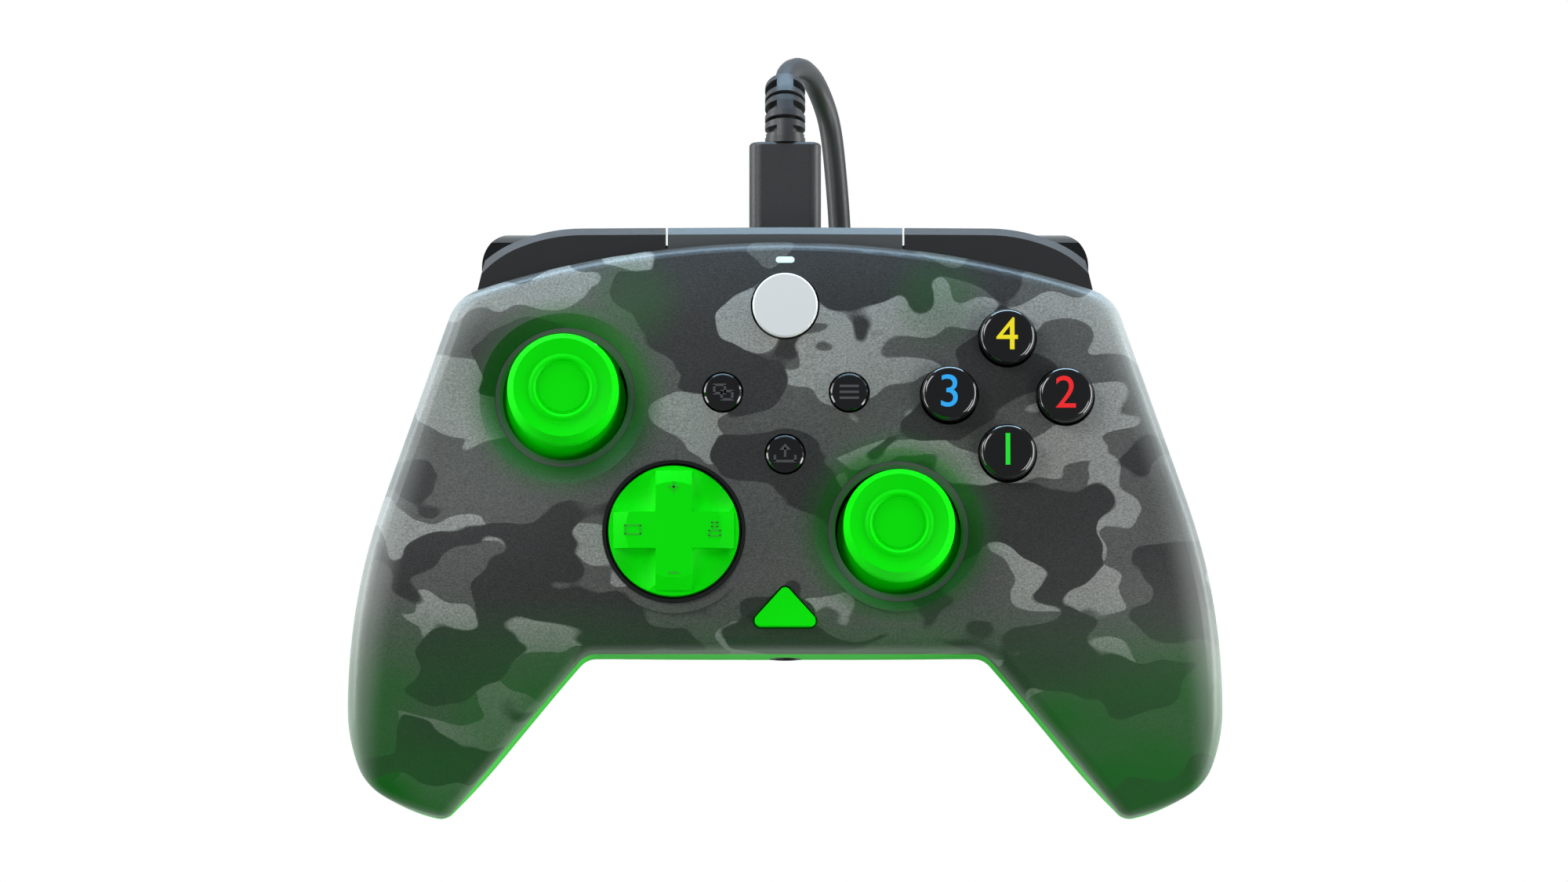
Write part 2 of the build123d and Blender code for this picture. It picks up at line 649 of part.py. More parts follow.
def dome_point(radius, angle):
    """A point of the stick's dome in its section, by the angle from the stick's axis."""
    return (radius * math.sin(angle), stick_pivot_z + radius * math.cos(angle))


def stick_post(x, y):
    """Post that carries the cap, pinned across the yoke."""
    post = rod(0, 0, post_r, stick_pivot_z - post_tail, post_top_z)
    pin = Pos(0, 0, stick_pivot_z) * Rot(90, 0, 0) * Cylinder(cross_pin_r, yoke_width)
    return Pos(x, y) * (post + pin).solids()[0]


def stick_yoke(x, y):
    """Yoke with trunnions along X in the housing and a slot for the post."""
    yoke = Box(yoke_length, yoke_width, yoke_height)
    yoke += Rot(0, 90, 0) * Cylinder(trunnion_r, module_side - module_wall)
    yoke -= Box(yoke_slot_length, yoke_slot_width, 2 * yoke_height)
    yoke -= Rot(90, 0, 0) * Cylinder(cross_pin_r + fit, 2 * yoke_width)
    return Pos(x, y, stick_pivot_z) * yoke.solids()[0]


def stick_module(x, y):
    """Housing of the stick's gimbal, with its two sensors on the sides."""
    half, z0 = module_side / 2, board_top_z
    module = slab(-half, half, -half, half, z0, module_top_z)
    long = pot_length / 2
    module += slab(-half - pot_side, -half, -long, long, z0, pot_top_z)
    module += slab(-long, long, -half - pot_side, -half, z0, pot_top_z)
    module -= rod(0, 0, module_well_r, z0 + module_floor, 0)
    bore = Rot(0, 90, 0) * Cylinder(trunnion_r + fit, module_side - module_wall + 2 * fit)
    module -= Pos(0, 0, stick_pivot_z) * bore
    return Pos(x, y) * module.solids()[0]


def pad():
    """Direction pad: a disc with a raised cross, four sunk facets, legs and pivot ears."""
    disc = rod(0, 0, pad_r, pad_rim_z0, pad_rim_z1)
    arm, width = pad_arm_reach, pad_arm_width / 2
    cross = slab(-arm, arm, -width, width, pad_rim_z0, pad_cross_z)
    cross += slab(-width, width, -arm, arm, pad_rim_z0, pad_cross_z)
    cross = cross & Pos(0, 0, pad_cross_z - 2 * pad_r) * Sphere(math.hypot(2 * pad_r, pad_arm_reach * 0.8))
    dish_r = (pad_facet_r ** 2 + pad_facet_depth ** 2) / (2 * pad_facet_depth)
    dish_z = pad_rim_z1 - pad_facet_depth + dish_r
    for a, b in ((1, 1), (1, -1), (-1, 1), (-1, -1)):
        disc -= Pos(a * pad_facet_x, b * pad_facet_x, dish_z) * Sphere(dish_r)
    disc += cross
    skin_z = pad_rim_z1 - pad_facet_depth / 4
    gap, ear = pad_ear_gap, pad_ear_width / 2
    disc -= rod(0, 0, gap + pad_skin + 2 * rest_gap, pad_rim_z0 - wall, skin_z)
    low = pad_pivot_z - pad_ear_height
    for side in (1, -1):
        y0, y1 = sorted((side * gap, side * (gap + pad_skin)))
        disc += slab(-ear, ear, y0, y1, low, skin_z + fit)
    pin_bore = Pos(0, 0, pad_pivot_z) * Rot(90, 0, 0) * Cylinder(pad_spider_r + fit, 4 * gap)
    disc -= pin_bore
    for a, b in ((1, 0), (-1, 0), (0, 1), (0, -1)):
        x, y = a * pad_leg_circle, b * pad_leg_circle
        disc += rod(x, y, pad_leg_r, pad_leg_z, pad_rim_z0 + fit)
    return Pos(pad_x, pad_y) * max(disc.solids(), key=lambda s: s.volume)


def pad_spider():
    """Cross-shaped pivot: one pin in the post's ears, the other in the pad's."""
    core = Box(pad_spider_core, pad_spider_core, 2 * pad_spider_r)
    along = 2 * pad_spider_reach
    spider = core + Rot(0, 90, 0) * Cylinder(pad_spider_r, along) + Rot(90, 0, 0) * Cylinder(pad_spider_r, along)
    return Pos(pad_x, pad_y, pad_pivot_z) * spider.solids()[0]


def pad_post():
    """Post on the board whose two ears hold the spider's long pin."""
    gap, ear = pad_ear_gap, pad_ear_width / 2
    neck_z = pad_pivot_z - 2 * pad_ear_height
    outer = gap + pad_skin
    top = pad_pivot_z + pad_spider_r + fit + rest_gap
    post = slab(-outer, outer, -ear, ear, board_top_z + membrane_thick, top)
    post -= slab(-gap, gap, -2 * ear, 2 * ear, neck_z - pad_ear_height, 0)
    post -= Pos(0, 0, pad_pivot_z) * Rot(0, 90, 0) * Cylinder(pad_spider_r + fit, 4 * outer)
    return Pos(pad_x, pad_y) * post.solids()[0]


def pad_ring():
    ring = face_plane(pad_x, pad_y) * rod(0, 0, pad_ring_r1, -pad_ring_height, -surface_tol * 5)
    return (ring - rod(pad_x, pad_y, pad_ring_r0, -overrun, overrun)).solids()[0]


def push_button(x, y, radius, top_z, travel, dome, under_z=membrane_dome_z):
    """A round push button with a domed top, a retaining flange and a foot."""
    button = rod(x, y, radius, collar_z - rest_gap, top_z)
    edge = button.edges().filter_by(GeomType.CIRCLE).sort_by(Axis.Z)[-1]
    button = chamfer(edge, dome / 2) if dome < wall / 2 else fillet(edge, dome)
    low = collar_z - rest_gap - flange_height
    button += rod(x, y, radius + button_gap + flange_out, low, collar_z - rest_gap)
    button += rod(x, y, min(button_foot_r, radius), under_z + rest_gap + travel, low)
    return button.solids()[0]


def triangle_button():
    """The triangular button, on the same kind of flange and foot."""
    low = collar_z - rest_gap - flange_height
    button = column(triangle_face(), collar_z - rest_gap, triangle_z)
    button += column(triangle_face(button_gap + flange_out / 2), low, collar_z - rest_gap)
    middle = (triangle_base_y * 2 + triangle_top_y) / 3
    button += rod(0, middle, button_foot_r / 2, membrane_dome_z + rest_gap + small_travel, low)
    return button.solids()[0]


def light_pipe():
    plan = Pos(0, light_y) * slot_face(light_length, light_width)
    return column(plan, light_z0, light_z1)


def main_board():
    """Board with a neck between the triggers, cleared round every screw boss."""
    z0, z1 = board_top_z - board_thick, board_top_z
    board = slab(-board_half, board_half, board_y0, board_step_y, z0, z1)
    board += slab(-board_neck, board_neck, 0, board_y1, z0, z1)
    for x, y in screw_places():
        board -= rod(x, y, boss_r + rest_gap, z0 - wall, z1 + wall)
    for x, y in board_screw_places:
        board -= both(rod(x, y, board_screw_r + fit, z0 - wall, z1 + wall))
    return board.solids()[0]


def cluster_span():
    """Room that the board and the rubber sheet under the face buttons take in plan."""
    rim = cluster_pitch + membrane_dome_r + collar_wall
    return (cluster_x - rim, cluster_x + rim, cluster_y - rim, cluster_y + rim)


def button_board():
    """Small board on a header, above the trigger's pocket."""
    z1 = upper_board_z
    x0, y0 = cluster_span()[0], cluster_span()[2]
    board = slab(*cluster_span(), z1 - upper_board_thick, z1)
    board += slab(x0, x0 + switch_side, y0, y0 + 3 * switch_side, board_top_z, z1)
    return board.solids()[0]


def dome_sheet(span, places, z0, dome_z):
    """Rubber sheet with a dome under each button or leg."""
    z1 = z0 + membrane_thick
    sheet = slab(*span, z0, z1)
    for x, y in places:
        height = dome_z - z1
        sheet += Pos(x, y, z1 + height / 2) * Cone(membrane_dome_r, membrane_dome_r / 2, height)
    return sheet.solids()[0]


def pad_leg_places():
    reach = pad_leg_circle
    return [(pad_x + a * reach, pad_y + b * reach) for a, b in ((1, 0), (-1, 0), (0, 1), (0, -1))]


def pad_sheet():
    rim = pad_leg_circle + membrane_dome_r
    span = (pad_x - rim, pad_x + rim, pad_y - rim, pad_y + rim)
    return dome_sheet(span, pad_leg_places(), board_top_z, membrane_dome_z)


def centre_button_places():
    middle = (triangle_base_y * 2 + triangle_top_y) / 3
    return [(0, guide_y), (view_x, small_row_y), (menu_x, small_row_y), (0, share_y), (0, middle)]


def centre_switches():
    """One tact switch on the board under each button along the middle of the face."""
    half = switch_side / 2
    group = []
    for x, y in centre_button_places():
        group.append(slab(x - half, x + half, y - half, y + half, board_top_z, membrane_dome_z))
    return group


def bumper_switches():
    """Side-pressed switches on the board's neck, behind the bumpers."""
    half, z0 = switch_side / 2, board_top_z
    x = board_neck - half
    piece = slab(x - half, x + half, board_y1 - switch_side, board_y1, z0, z0 + switch_side)
    tip_y = inner_edge_y(x + half) - rest_gap
    piece += along_y(Circle(plunger_r).face(), board_y1, tip_y, z0 + half, x)
    piece = piece.solids()[0]
    return [piece, mirror(piece, Plane.YZ)]


def paddle_switches():
    half, z1 = switch_side / 2, board_top_z - board_thick
    piece = slab(paddle_x - half, paddle_x + half, paddle_y - half, paddle_y + half, z1 - low_switch, z1)
    return [piece, mirror(piece, Plane.YZ)]


def usb_socket():
    """Metal sleeve of the socket, open towards the plug, with its contact tongue."""
    y0 = socket_mouth_y - socket_length
    section = RectangleRounded(socket_width, socket_height, socket_height * 0.49).face()
    room = RectangleRounded(tongue_width + 2 * fit, tongue_height + 2 * fit, tongue_height * 0.49).face()
    sleeve = along_y(section, y0, socket_mouth_y, port_z)
    return sleeve - along_y(room, y0 + socket_wall, front_y, port_z)


def headset_jack():
    """Jack body under the board, its round collar in the shell's lower wall, bore along Y."""
    wall_y = spread(crotch_shares)[1] + wall
    y0, y1 = wall_y + fit, wall_y + jack_length
    half = jack_width / 2
    body = slab(-half, half, y0, y1, jack_z - jack_height / 2, jack_z + jack_height / 2)
    collar_y = wall_y - wall + fit
    body += along_y(Circle(jack_bore_r + wall / 2 - fit).face(), collar_y, y0, jack_z)
    return body - along_y(Circle(jack_bore_r).face(), collar_y - wall, collar_y + jack_bore_depth, jack_z)


def motor():
    can = along_y(Circle(motor_r).face(), motor_y, motor_y + motor_length, motor_z, motor_x)
    bore = along_y(Circle(motor_shaft_r + fit).face(), motor_y - wall, motor_y + motor_length / 2, motor_z, motor_x)
    return can - bore


def motor_weight():
    """Off-centre weight and its shaft, which turn in the motor."""
    y1 = motor_y - rest_gap - wall / 4
    y0 = y1 - weight_length
    half_disc = Circle(weight_r).face() & (Pos(0, weight_r) * Rectangle(2 * weight_r, 2 * weight_r)).face()
    weight = along_y(half_disc.faces()[0], y0, y1, motor_z, motor_x)
    weight += along_y(Circle(weight_hub_r).face(), y0, y1, motor_z, motor_x)
    hub_y = y1 - weight_length / 2
    shaft = along_y(Circle(motor_shaft_r).face(), hub_y, motor_y + motor_length / 3, motor_z, motor_x)
    return (weight + shaft).solids()[0]


def paddle():
    """Rear paddle: a curved pad that follows the shell, with a flange inside it."""
    low, high = -stand_height - overrun, parting_z * 2
    flange_top = wall + rest_gap + flange_height
    level = over(back_height, flange_top)
    pad_part = (column(paddle_face(), low, high) & over(back_height, -paddle_stand)) - level
    flange = column(paddle_face(button_gap + flange_out), low, high) & over(back_height, wall + rest_gap)
    switch_z = board_top_z - board_thick - low_switch
    stem_z = back_height(paddle_x, paddle_y) + wall + 2 * rest_gap
    stem = rod(paddle_x, paddle_y, plunger_r, stem_z, switch_z - paddle_travel - rest_gap)
    return max((pad_part + (flange - level) + stem).solids(), key=lambda s: s.volume)


def shell_screws():
    """Five screws, each up through a post of the back shell into a boss of the front shell."""
    group = []
    for x, y in screw_places():
        seat = screw_seat_z(x, y) - wall
        screw = rod(x, y, screw_head_r, seat - screw_head_height, seat)
        group.append((screw + rod(x, y, screw_r, seat, seat + screw_length)).solids()[0])
    return group


def board_screws():
    group = []
    for x, y in board_screw_places:
        screw = rod(x, y, board_screw_head_r, board_top_z, board_top_z + board_screw_head)
        screw += rod(x, y, board_screw_r, board_top_z - overrun / 3, board_top_z)
        group += [screw.solids()[0], mirror(screw.solids()[0], Plane.YZ)]
    return group


def relief_point(turn):
    """A place on the bent axis of the strain relief, and its heading, by the angle turned."""
    angle = math.radians(turn)
    y = plug_y1 + relief_bend_r * math.sin(angle)
    z = port_z - relief_bend_r * (1 - math.cos(angle))
    return Plane(origin=(0, y, z), x_dir=(1, 0, 0), z_dir=(0, math.cos(angle), -math.sin(angle)))


def strain_relief():
    """Bent rubber sleeve with ribs that shrink towards the cable."""
    stations = [relief_point(relief_turn * share) for share in (0, 0.5, 1)]
    path = ThreePointArc(*[plane.origin for plane in stations])
    sleeve = sweep(stations[0] * Circle(relief_core_r), path=path)
    for i in range(relief_ribs):
        share = (i + 0.5) / relief_ribs
        radius = relief_r0 + (relief_r1 - relief_r0) * share
        sleeve += relief_point(relief_turn * share) * Cylinder(radius, relief_rib_width)
    return sleeve.solids()[0]


def usb_plug():
    grip = along_y(plug_section(), plug_y0, plug_y1, port_z)
    ends = grip.edges().group_by(Axis.Y)[-1]
    return fillet(ends, plug_edge / 3).solids()[0]


def usb_plug_tongue():
    """Metal tip of the plug, with the slot for the socket's contacts."""
    section = RectangleRounded(tongue_width, tongue_height, tongue_height * 0.49).face()
    slot = Rectangle(tongue_width - 3 * socket_wall, tongue_height - 4 * socket_wall).face()
    tip = along_y(section, plug_y0 - tongue_length, plug_y0, port_z)
    return (tip - along_y(slot, 0, plug_y0 - tongue_length / 3, port_z)).solids()[0]


def corner_radii(points):
    """Bend radius at every corner: as wide as the shorter of its two runs allows."""
    radii = []
    for before, here, after in zip(points, points[1:], points[2:]):
        run_in, run_out = Vector(here) - Vector(before), Vector(after) - Vector(here)
        turn = math.radians(run_in.get_angle(run_out))
        radii.append(0.45 * min(run_in.length, run_out.length) / math.tan(turn / 2))
    return radii


def tube(points):
    """Round cable along rounded corners."""
    radii = corner_radii(points)
    path = FilletPolyline(*points, radius=radii)
    heading = Vector(points[1]) - Vector(points[0])
    print("cable bend radii", [round(r, 1) for r in radii], "length", round(path.length, 1))
    return sweep(Plane(origin=points[0], z_dir=heading) * Circle(cable_r), path=path).solids()[0]


def coil_radii():
    """Distance from the coil's middle at every half turn, side by side on one axis."""
    inner = coil_base_r - coil_half_turns * coil_pitch / 2
    radii = []
    for level in range(coil_levels):
        inward = level % 2 == 0
        start = coil_base_r + coil_side_step if inward else inner - coil_side_step
        radii.append(start)
        for i in range(1, coil_half_turns + 1):
            step = i * coil_pitch / 2
            radii.append(coil_base_r - step if inward else inner + step)
    return radii


def coil_place(along, across, level_z):
    """A point of the coil from its distance along and across the crossing axis."""
    angle = math.radians(coil_axis)
    x = coil_x + along * math.cos(angle) - across * math.sin(angle)
    y = coil_y + along * math.sin(angle) + across * math.cos(angle)
    return Vector(x, y, coil_z0() + level_z)


def coil_z0():
    return -stand_height + coil_raise + cable_r


def coil_path():
    """Edges of the coil: flat half turns in each level, and a climbing one between levels."""
    radii = coil_radii()
    per_level = coil_half_turns + 1
    straight = 2 * cable_r
    heading = coil_place(0, -1, 0) - coil_place(0, 0, 0)
    start = coil_place(radii[0], 0, 0)
    edges = [Line(start - heading * straight, start)]
    for k in range(len(radii) - 1):
        side = 1 if k % 2 == 0 else -1
        low = (k // per_level) * coil_level
        high = ((k + 1) // per_level) * coil_level
        radius = (radii[k] + radii[k + 1]) / 2
        middle = side * (radii[k] - radii[k + 1]) / 2
        rise = high - low
        bulge = math.hypot(radius, rise / 2)
        a = coil_place(side * radii[k], 0, low)
        b = coil_place(middle, -side * bulge, (low + high) / 2)
        c = coil_place(-side * radii[k + 1], 0, high)
        if rise == 0 and k + 2 < len(radii):
            edges.append(ThreePointArc(a, b, c))
        elif rise == 0:
            turn = math.radians(180 - coil_axis)
            mid = coil_place(middle + radius * math.cos(turn / 2), -radius * math.sin(turn / 2), low)
            end = coil_place(middle + radius * math.cos(turn), -radius * math.sin(turn), low)
            edges.append(ThreePointArc(a, mid, end))
        else:
            edges.append(TangentArc(a, b, tangent=edges[-1] % 1))
            edges.append(TangentArc(b, c, tangent=edges[-1] % 1))
    end = edges[-1] @ 1
    edges.append(Line(end, end + Vector(-straight, 0, 0)))
    return edges


def coil_gap(edges):
    """Least free gap between turns of the coil, measured on points along it."""
    points, travelled = [], 0.0
    for edge in edges:
        count = max(2, round(edge.length / cable_r))
        for i in range(count):
            points.append((edge @ (i / count), travelled + edge.length * i / count))
        travelled += edge.length
    best = half_width
    for i, (p, s) in enumerate(points):
        for q, t in points[i + 1:]:
            if t - s > 6 * cable_r:
                best = min(best, (p - q).length)
    return best - 2 * cable_r


def cable_coil():
    edges = coil_path()
    path = Wire([e.edge() for e in edges])
    print("coil length", round(path.length, 1), "least gap", round(coil_gap(edges), 2))
    section = Plane(origin=edges[0] @ 0, z_dir=edges[0] % 0) * Circle(cable_r)
    return sweep(section, path=path).solids()[0]


def cable_lead():
    start = relief_point(relief_turn).origin
    first = coil_path()[0]
    end, heading = first @ 0, first % 0
    return tube([start, *lead_corners, end - heading * lead_last_run, end])


def cable_tail():
    start = coil_path()[-1] @ 1
    first = start + Vector(-tail_first_run, 0, 0)
    end = Vector(end_plug_x, end_plug_y, end_plug_z)
    return tube([start, first, *tail_corners, end + Vector(tail_last_run, 0, 0), end])


def end_plug():
    section = Plane.YZ * RectangleRounded(end_plug_width, end_plug_height, end_plug_edge)
    grip = Pos(end_plug_x, end_plug_y, end_plug_z) * extrude(section, amount=end_plug_length, dir=(-1, 0, 0))
    return grip.solids()[0]


def end_shell():
    """Metal shell of the far plug, with its insulating block left open above it."""
    half_y, half_z, skin = end_shell_width / 2, end_shell_height / 2, end_shell_wall
    x1 = end_plug_x - end_plug_length
    x0 = x1 - end_shell_length
    y, z = end_plug_y, end_plug_z
    sleeve = slab(x0, x1, y - half_y, y + half_y, z - half_z, z + half_z)
    room = slab(x0 - wall, x1 - skin, y - half_y + skin, y + half_y - skin, z - skin / 2, z + half_z - skin)
    return (sleeve - room).solids()[0]


def cable_tie():
    """Flat strap round all turns of the coil."""
    radii = coil_radii()
    half = strap_width / 2
    inner = math.sqrt((min(radii) - cable_r - cord_gap) ** 2 - half ** 2)
    y0, y1 = coil_y + inner, coil_y + max(radii) + cable_r + cord_gap
    top = coil_z0() + (coil_levels - 1) * coil_level + cable_r + cord_gap
    strap = slab(-half, half, y0 - strap_thick, y1 + strap_thick, -stand_height, top + strap_thick)
    return (strap - slab(-strap_width, strap_width, y0, y1, -stand_height + strap_thick, top)).solids()[0]


def all_nodes():
    """Every sub-part by name, still in the face's frame."""
    upper, outer, room = above_parting(), body_form(0), body_form(wall)
    hollow = (outer - room).solids()[0]
    whole_band = band().solids()[0]
    right_bumper, right_trigger, right_motor = bumper(whole_band), trigger(), motor()
    right_weight, right_paddle = motor_weight(), paddle()
    left_stick, right_stick = stick_places()
    nodes = {
        "front_shell": front_shell(hollow, upper),
        "back_shell": back_shell(hollow, outer, upper),
        "top_bridge": top_bridge(whole_band),
        "right_bumper": right_bumper,
        "left_bumper": mirror(right_bumper, Plane.YZ),
        "right_trigger": right_trigger,
        "left_trigger": mirror(right_trigger, Plane.YZ),
        "right_motor": right_motor,
        "left_motor": mirror(right_motor, Plane.YZ),
        "right_motor_weight": right_weight,
        "left_motor_weight": mirror(right_weight, Plane.YZ),
        "right_paddle": right_paddle,
        "left_paddle": mirror(right_paddle, Plane.YZ),
    }
    pairs = {"trigger_pins": trigger_pin(), "trigger_springs": trigger_spring()}
    for name, piece in pairs.items():
        nodes[name] = Compound(children=[piece, mirror(piece, Plane.YZ)])
    for name, place in (("left_stick", left_stick), ("right_stick", right_stick)):
        nodes[name + "_cap"] = stick_cap(*place)
        nodes[name + "_post"] = stick_post(*place)
        nodes[name + "_yoke"] = stick_yoke(*place)
        nodes[name + "_module"] = stick_module(*place)
        nodes[name + "_ring"] = stick_ring(*place)
    for name, (x, y) in zip(("top", "left", "right", "bottom"), face_button_places()):
        top_z = face_button_z + face_height(x, y) - face_height(cluster_x, cluster_y)
        button = push_button(x, y, face_button_r, top_z, button_travel, button_dome, upper_dome_z)
        nodes["button_" + name] = button
    small = (("view", view_x, small_row_y), ("menu", menu_x, small_row_y), ("share", 0, share_y))
    for name, x, y in small:
        nodes[name + "_button"] = push_button(x, y, small_button_r, small_button_z, small_travel, button_dome / 2)
    nodes["guide_button"] = push_button(0, guide_y, guide_r, guide_z, small_travel, button_dome / 2)
    nodes["function_button"] = triangle_button()
    nodes["direction_pad"] = pad()
    nodes["pad_ring"] = pad_ring()
    nodes["pad_spider"] = pad_spider()
    nodes["pad_post"] = pad_post()
    nodes["pad_sheet"] = pad_sheet()
    nodes["button_sheet"] = dome_sheet(cluster_span(), face_button_places(), upper_board_z, upper_dome_z)
    nodes["button_board"] = button_board()
    nodes["main_board"] = main_board()
    nodes["centre_switches"] = Compound(children=centre_switches())
    nodes["bumper_switches"] = Compound(children=bumper_switches())
    nodes["paddle_switches"] = Compound(children=paddle_switches())
    nodes["status_light"] = light_pipe()
    nodes["usb_socket"] = usb_socket()
    nodes["headset_jack"] = headset_jack()
    nodes["shell_screws"] = Compound(children=shell_screws())
    nodes["board_screws"] = Compound(children=board_screws())
    nodes["usb_plug"] = usb_plug()
    nodes["usb_plug_tongue"] = usb_plug_tongue()
    nodes["strain_relief"] = strain_relief()
    nodes["cable_lead"] = cable_lead()
    nodes["cable_coil"] = cable_coil()
    nodes["cable_tail"] = cable_tail()
    nodes["cable_tie"] = cable_tie()
    nodes["end_plug"] = end_plug()
    nodes["end_plug_shell"] = end_shell()
    return nodes


# Place everything on the ground, middle of its depth on Y = 0, and write one file per sub-part
crest_y = front_y + wall / 4
seat = Pos(0, (grip_reach - crest_y) / 2, stand_height)
os.makedirs("parts", exist_ok=True)
for node, piece in all_nodes().items():
    export_step(seat * piece, f"parts/{node}.step")
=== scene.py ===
import bpy
import json
import math
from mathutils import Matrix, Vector


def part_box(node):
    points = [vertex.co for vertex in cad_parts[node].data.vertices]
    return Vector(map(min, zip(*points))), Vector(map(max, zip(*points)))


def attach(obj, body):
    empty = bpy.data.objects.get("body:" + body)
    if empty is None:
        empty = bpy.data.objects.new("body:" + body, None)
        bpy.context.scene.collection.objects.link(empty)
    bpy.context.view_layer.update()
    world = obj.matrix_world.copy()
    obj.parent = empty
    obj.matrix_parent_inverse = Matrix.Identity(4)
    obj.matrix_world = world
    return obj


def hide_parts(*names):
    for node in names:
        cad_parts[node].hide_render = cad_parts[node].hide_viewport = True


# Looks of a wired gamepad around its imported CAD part. Metres, in the part's own frame:
# X to the player's right, Y towards the cable, Z out of the face.
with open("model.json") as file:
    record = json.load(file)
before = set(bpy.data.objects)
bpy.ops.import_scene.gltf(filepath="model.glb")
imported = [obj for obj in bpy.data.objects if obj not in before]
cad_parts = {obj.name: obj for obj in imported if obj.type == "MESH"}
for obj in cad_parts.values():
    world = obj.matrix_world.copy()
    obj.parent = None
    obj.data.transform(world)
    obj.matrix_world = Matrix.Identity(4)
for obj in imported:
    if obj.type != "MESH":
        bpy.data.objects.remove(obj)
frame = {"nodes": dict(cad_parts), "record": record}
scene = bpy.context.scene
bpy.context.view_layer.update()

MM = 0.001
FACE_Y, FACE_Z = 12.125 * MM, 46 * MM
SIDES = ("left", "right")


def face_point(x, y, z):
    """A point given in millimetres from the middle of the gamepad's face."""
    return Vector((x * MM, y * MM + FACE_Y, z * MM + FACE_Z))


def add_object(name, data):
    """An object of the scene that holds the data."""
    made = bpy.data.objects.new(name, data)
    scene.collection.objects.link(made)
    return made


# Camera: near-orthographic, almost straight down on the face
ELEVATION = math.radians(82.5)
PHOTO_WIDTH = 276.2 * MM
LENS, SENSOR, CLIP_END = 250.0, 36.0, 20
AIM = face_point(-0.2, -0.07, 0)

camera_data = bpy.data.cameras.new("photo_camera")
camera_data.lens, camera_data.sensor_width = LENS, SENSOR
camera_data.clip_end = CLIP_END
camera = add_object("photo_camera", camera_data)
away = Vector((0, -math.cos(ELEVATION), math.sin(ELEVATION)))
camera.location = AIM + away * (PHOTO_WIDTH * LENS / SENSOR)
camera.rotation_euler = (math.pi / 2 - ELEVATION, 0, 0)
scene.camera = camera


# Cable: a lead out of the strain relief, a put-away coil under the belly and a tail to the
# far plug. Its route is given in millimetres from the middle of the face.
CABLE_R, CABLE_LENGTH = 2.0 * MM, 2.08
CURVE_ROUNDNESS, CURVE_STEPS = 5, 4
PLUG_END_Y, PORT_Z = 56.1, -20.3
RELIEF_BEND_R, RELIEF_TURN = 15.7, math.radians(45)
LEAD = (
    (0, 70.17, -27.9), (2.6, 72.12, -32.37), (4.8, 71.15, -37.9), (6.8, 67.6, -42.0),
    (8.3, 62.8, -44.0), (9.2, 54.0, -44.0), (9.9, 44.5, -44.0),
)
LEAD_LAST_RUN = 12.0
COIL_CENTRE, COIL_LOW_Z = (0.0, 2.0), -43.2
COIL_BASE_R, COIL_SIDE_STEP, COIL_PITCH, COIL_LEVEL = 28.8, 1.5, 4.65, 4.6
COIL_HALF_TURNS, COIL_LEVELS, COIL_AXIS = 7, 4, math.radians(45)
COIL_STRAIGHT, COIL_STEPS = 4.0, 10
TAIL = ((-19.0, -25.4, -32.6), (-26.0, -21.7, -36.8), (-31.5, -16.9, -40.3))
TAIL_FIRST_RUN, TAIL_LAST_RUN = 6.7, 5.7
FAR_PLUG = (-42.5, -15.0, -41.8)


def coil_radii():
    """Distance from the coil's middle at every half turn."""
    inner = COIL_BASE_R - COIL_HALF_TURNS * COIL_PITCH / 2
    radii = []
    for level in range(COIL_LEVELS):
        inward = level % 2 == 0
        radii.append(COIL_BASE_R + COIL_SIDE_STEP if inward else inner - COIL_SIDE_STEP)
        for i in range(1, COIL_HALF_TURNS + 1):
            step = i * COIL_PITCH / 2
            radii.append(COIL_BASE_R - step if inward else inner + step)
    return radii


def coil_place(along, across, level_z):
    """A place of the coil, from its distances along and across its axis."""
    x = COIL_CENTRE[0] + along * math.cos(COIL_AXIS) - across * math.sin(COIL_AXIS)
    y = COIL_CENTRE[1] + along * math.sin(COIL_AXIS) + across * math.cos(COIL_AXIS)
    return (x, y, COIL_LOW_Z + level_z)


def coil_points():
    """Points along the coil, half turn by half turn, climbing once in every level."""
    radii, per_level = coil_radii(), COIL_HALF_TURNS + 1
    points = []
    for k in range(len(radii) - 1):
        side = 1 if k % 2 == 0 else -1
        low, high = (k // per_level) * COIL_LEVEL, ((k + 1) // per_level) * COIL_LEVEL
        radius = (radii[k] + radii[k + 1]) / 2
        middle = side * (radii[k] - radii[k + 1]) / 2
        last = k + 2 == len(radii)
        sweep = math.pi - COIL_AXIS if last else math.pi
        for i in range(COIL_STEPS + (1 if last else 0)):
            angle = sweep * i / COIL_STEPS
            rise = (1 - math.cos(angle)) / 2 * (high - low)
            along = middle + side * radius * math.cos(angle)
            points.append(coil_place(along, -side * radius * math.sin(angle), low + rise))
    return points


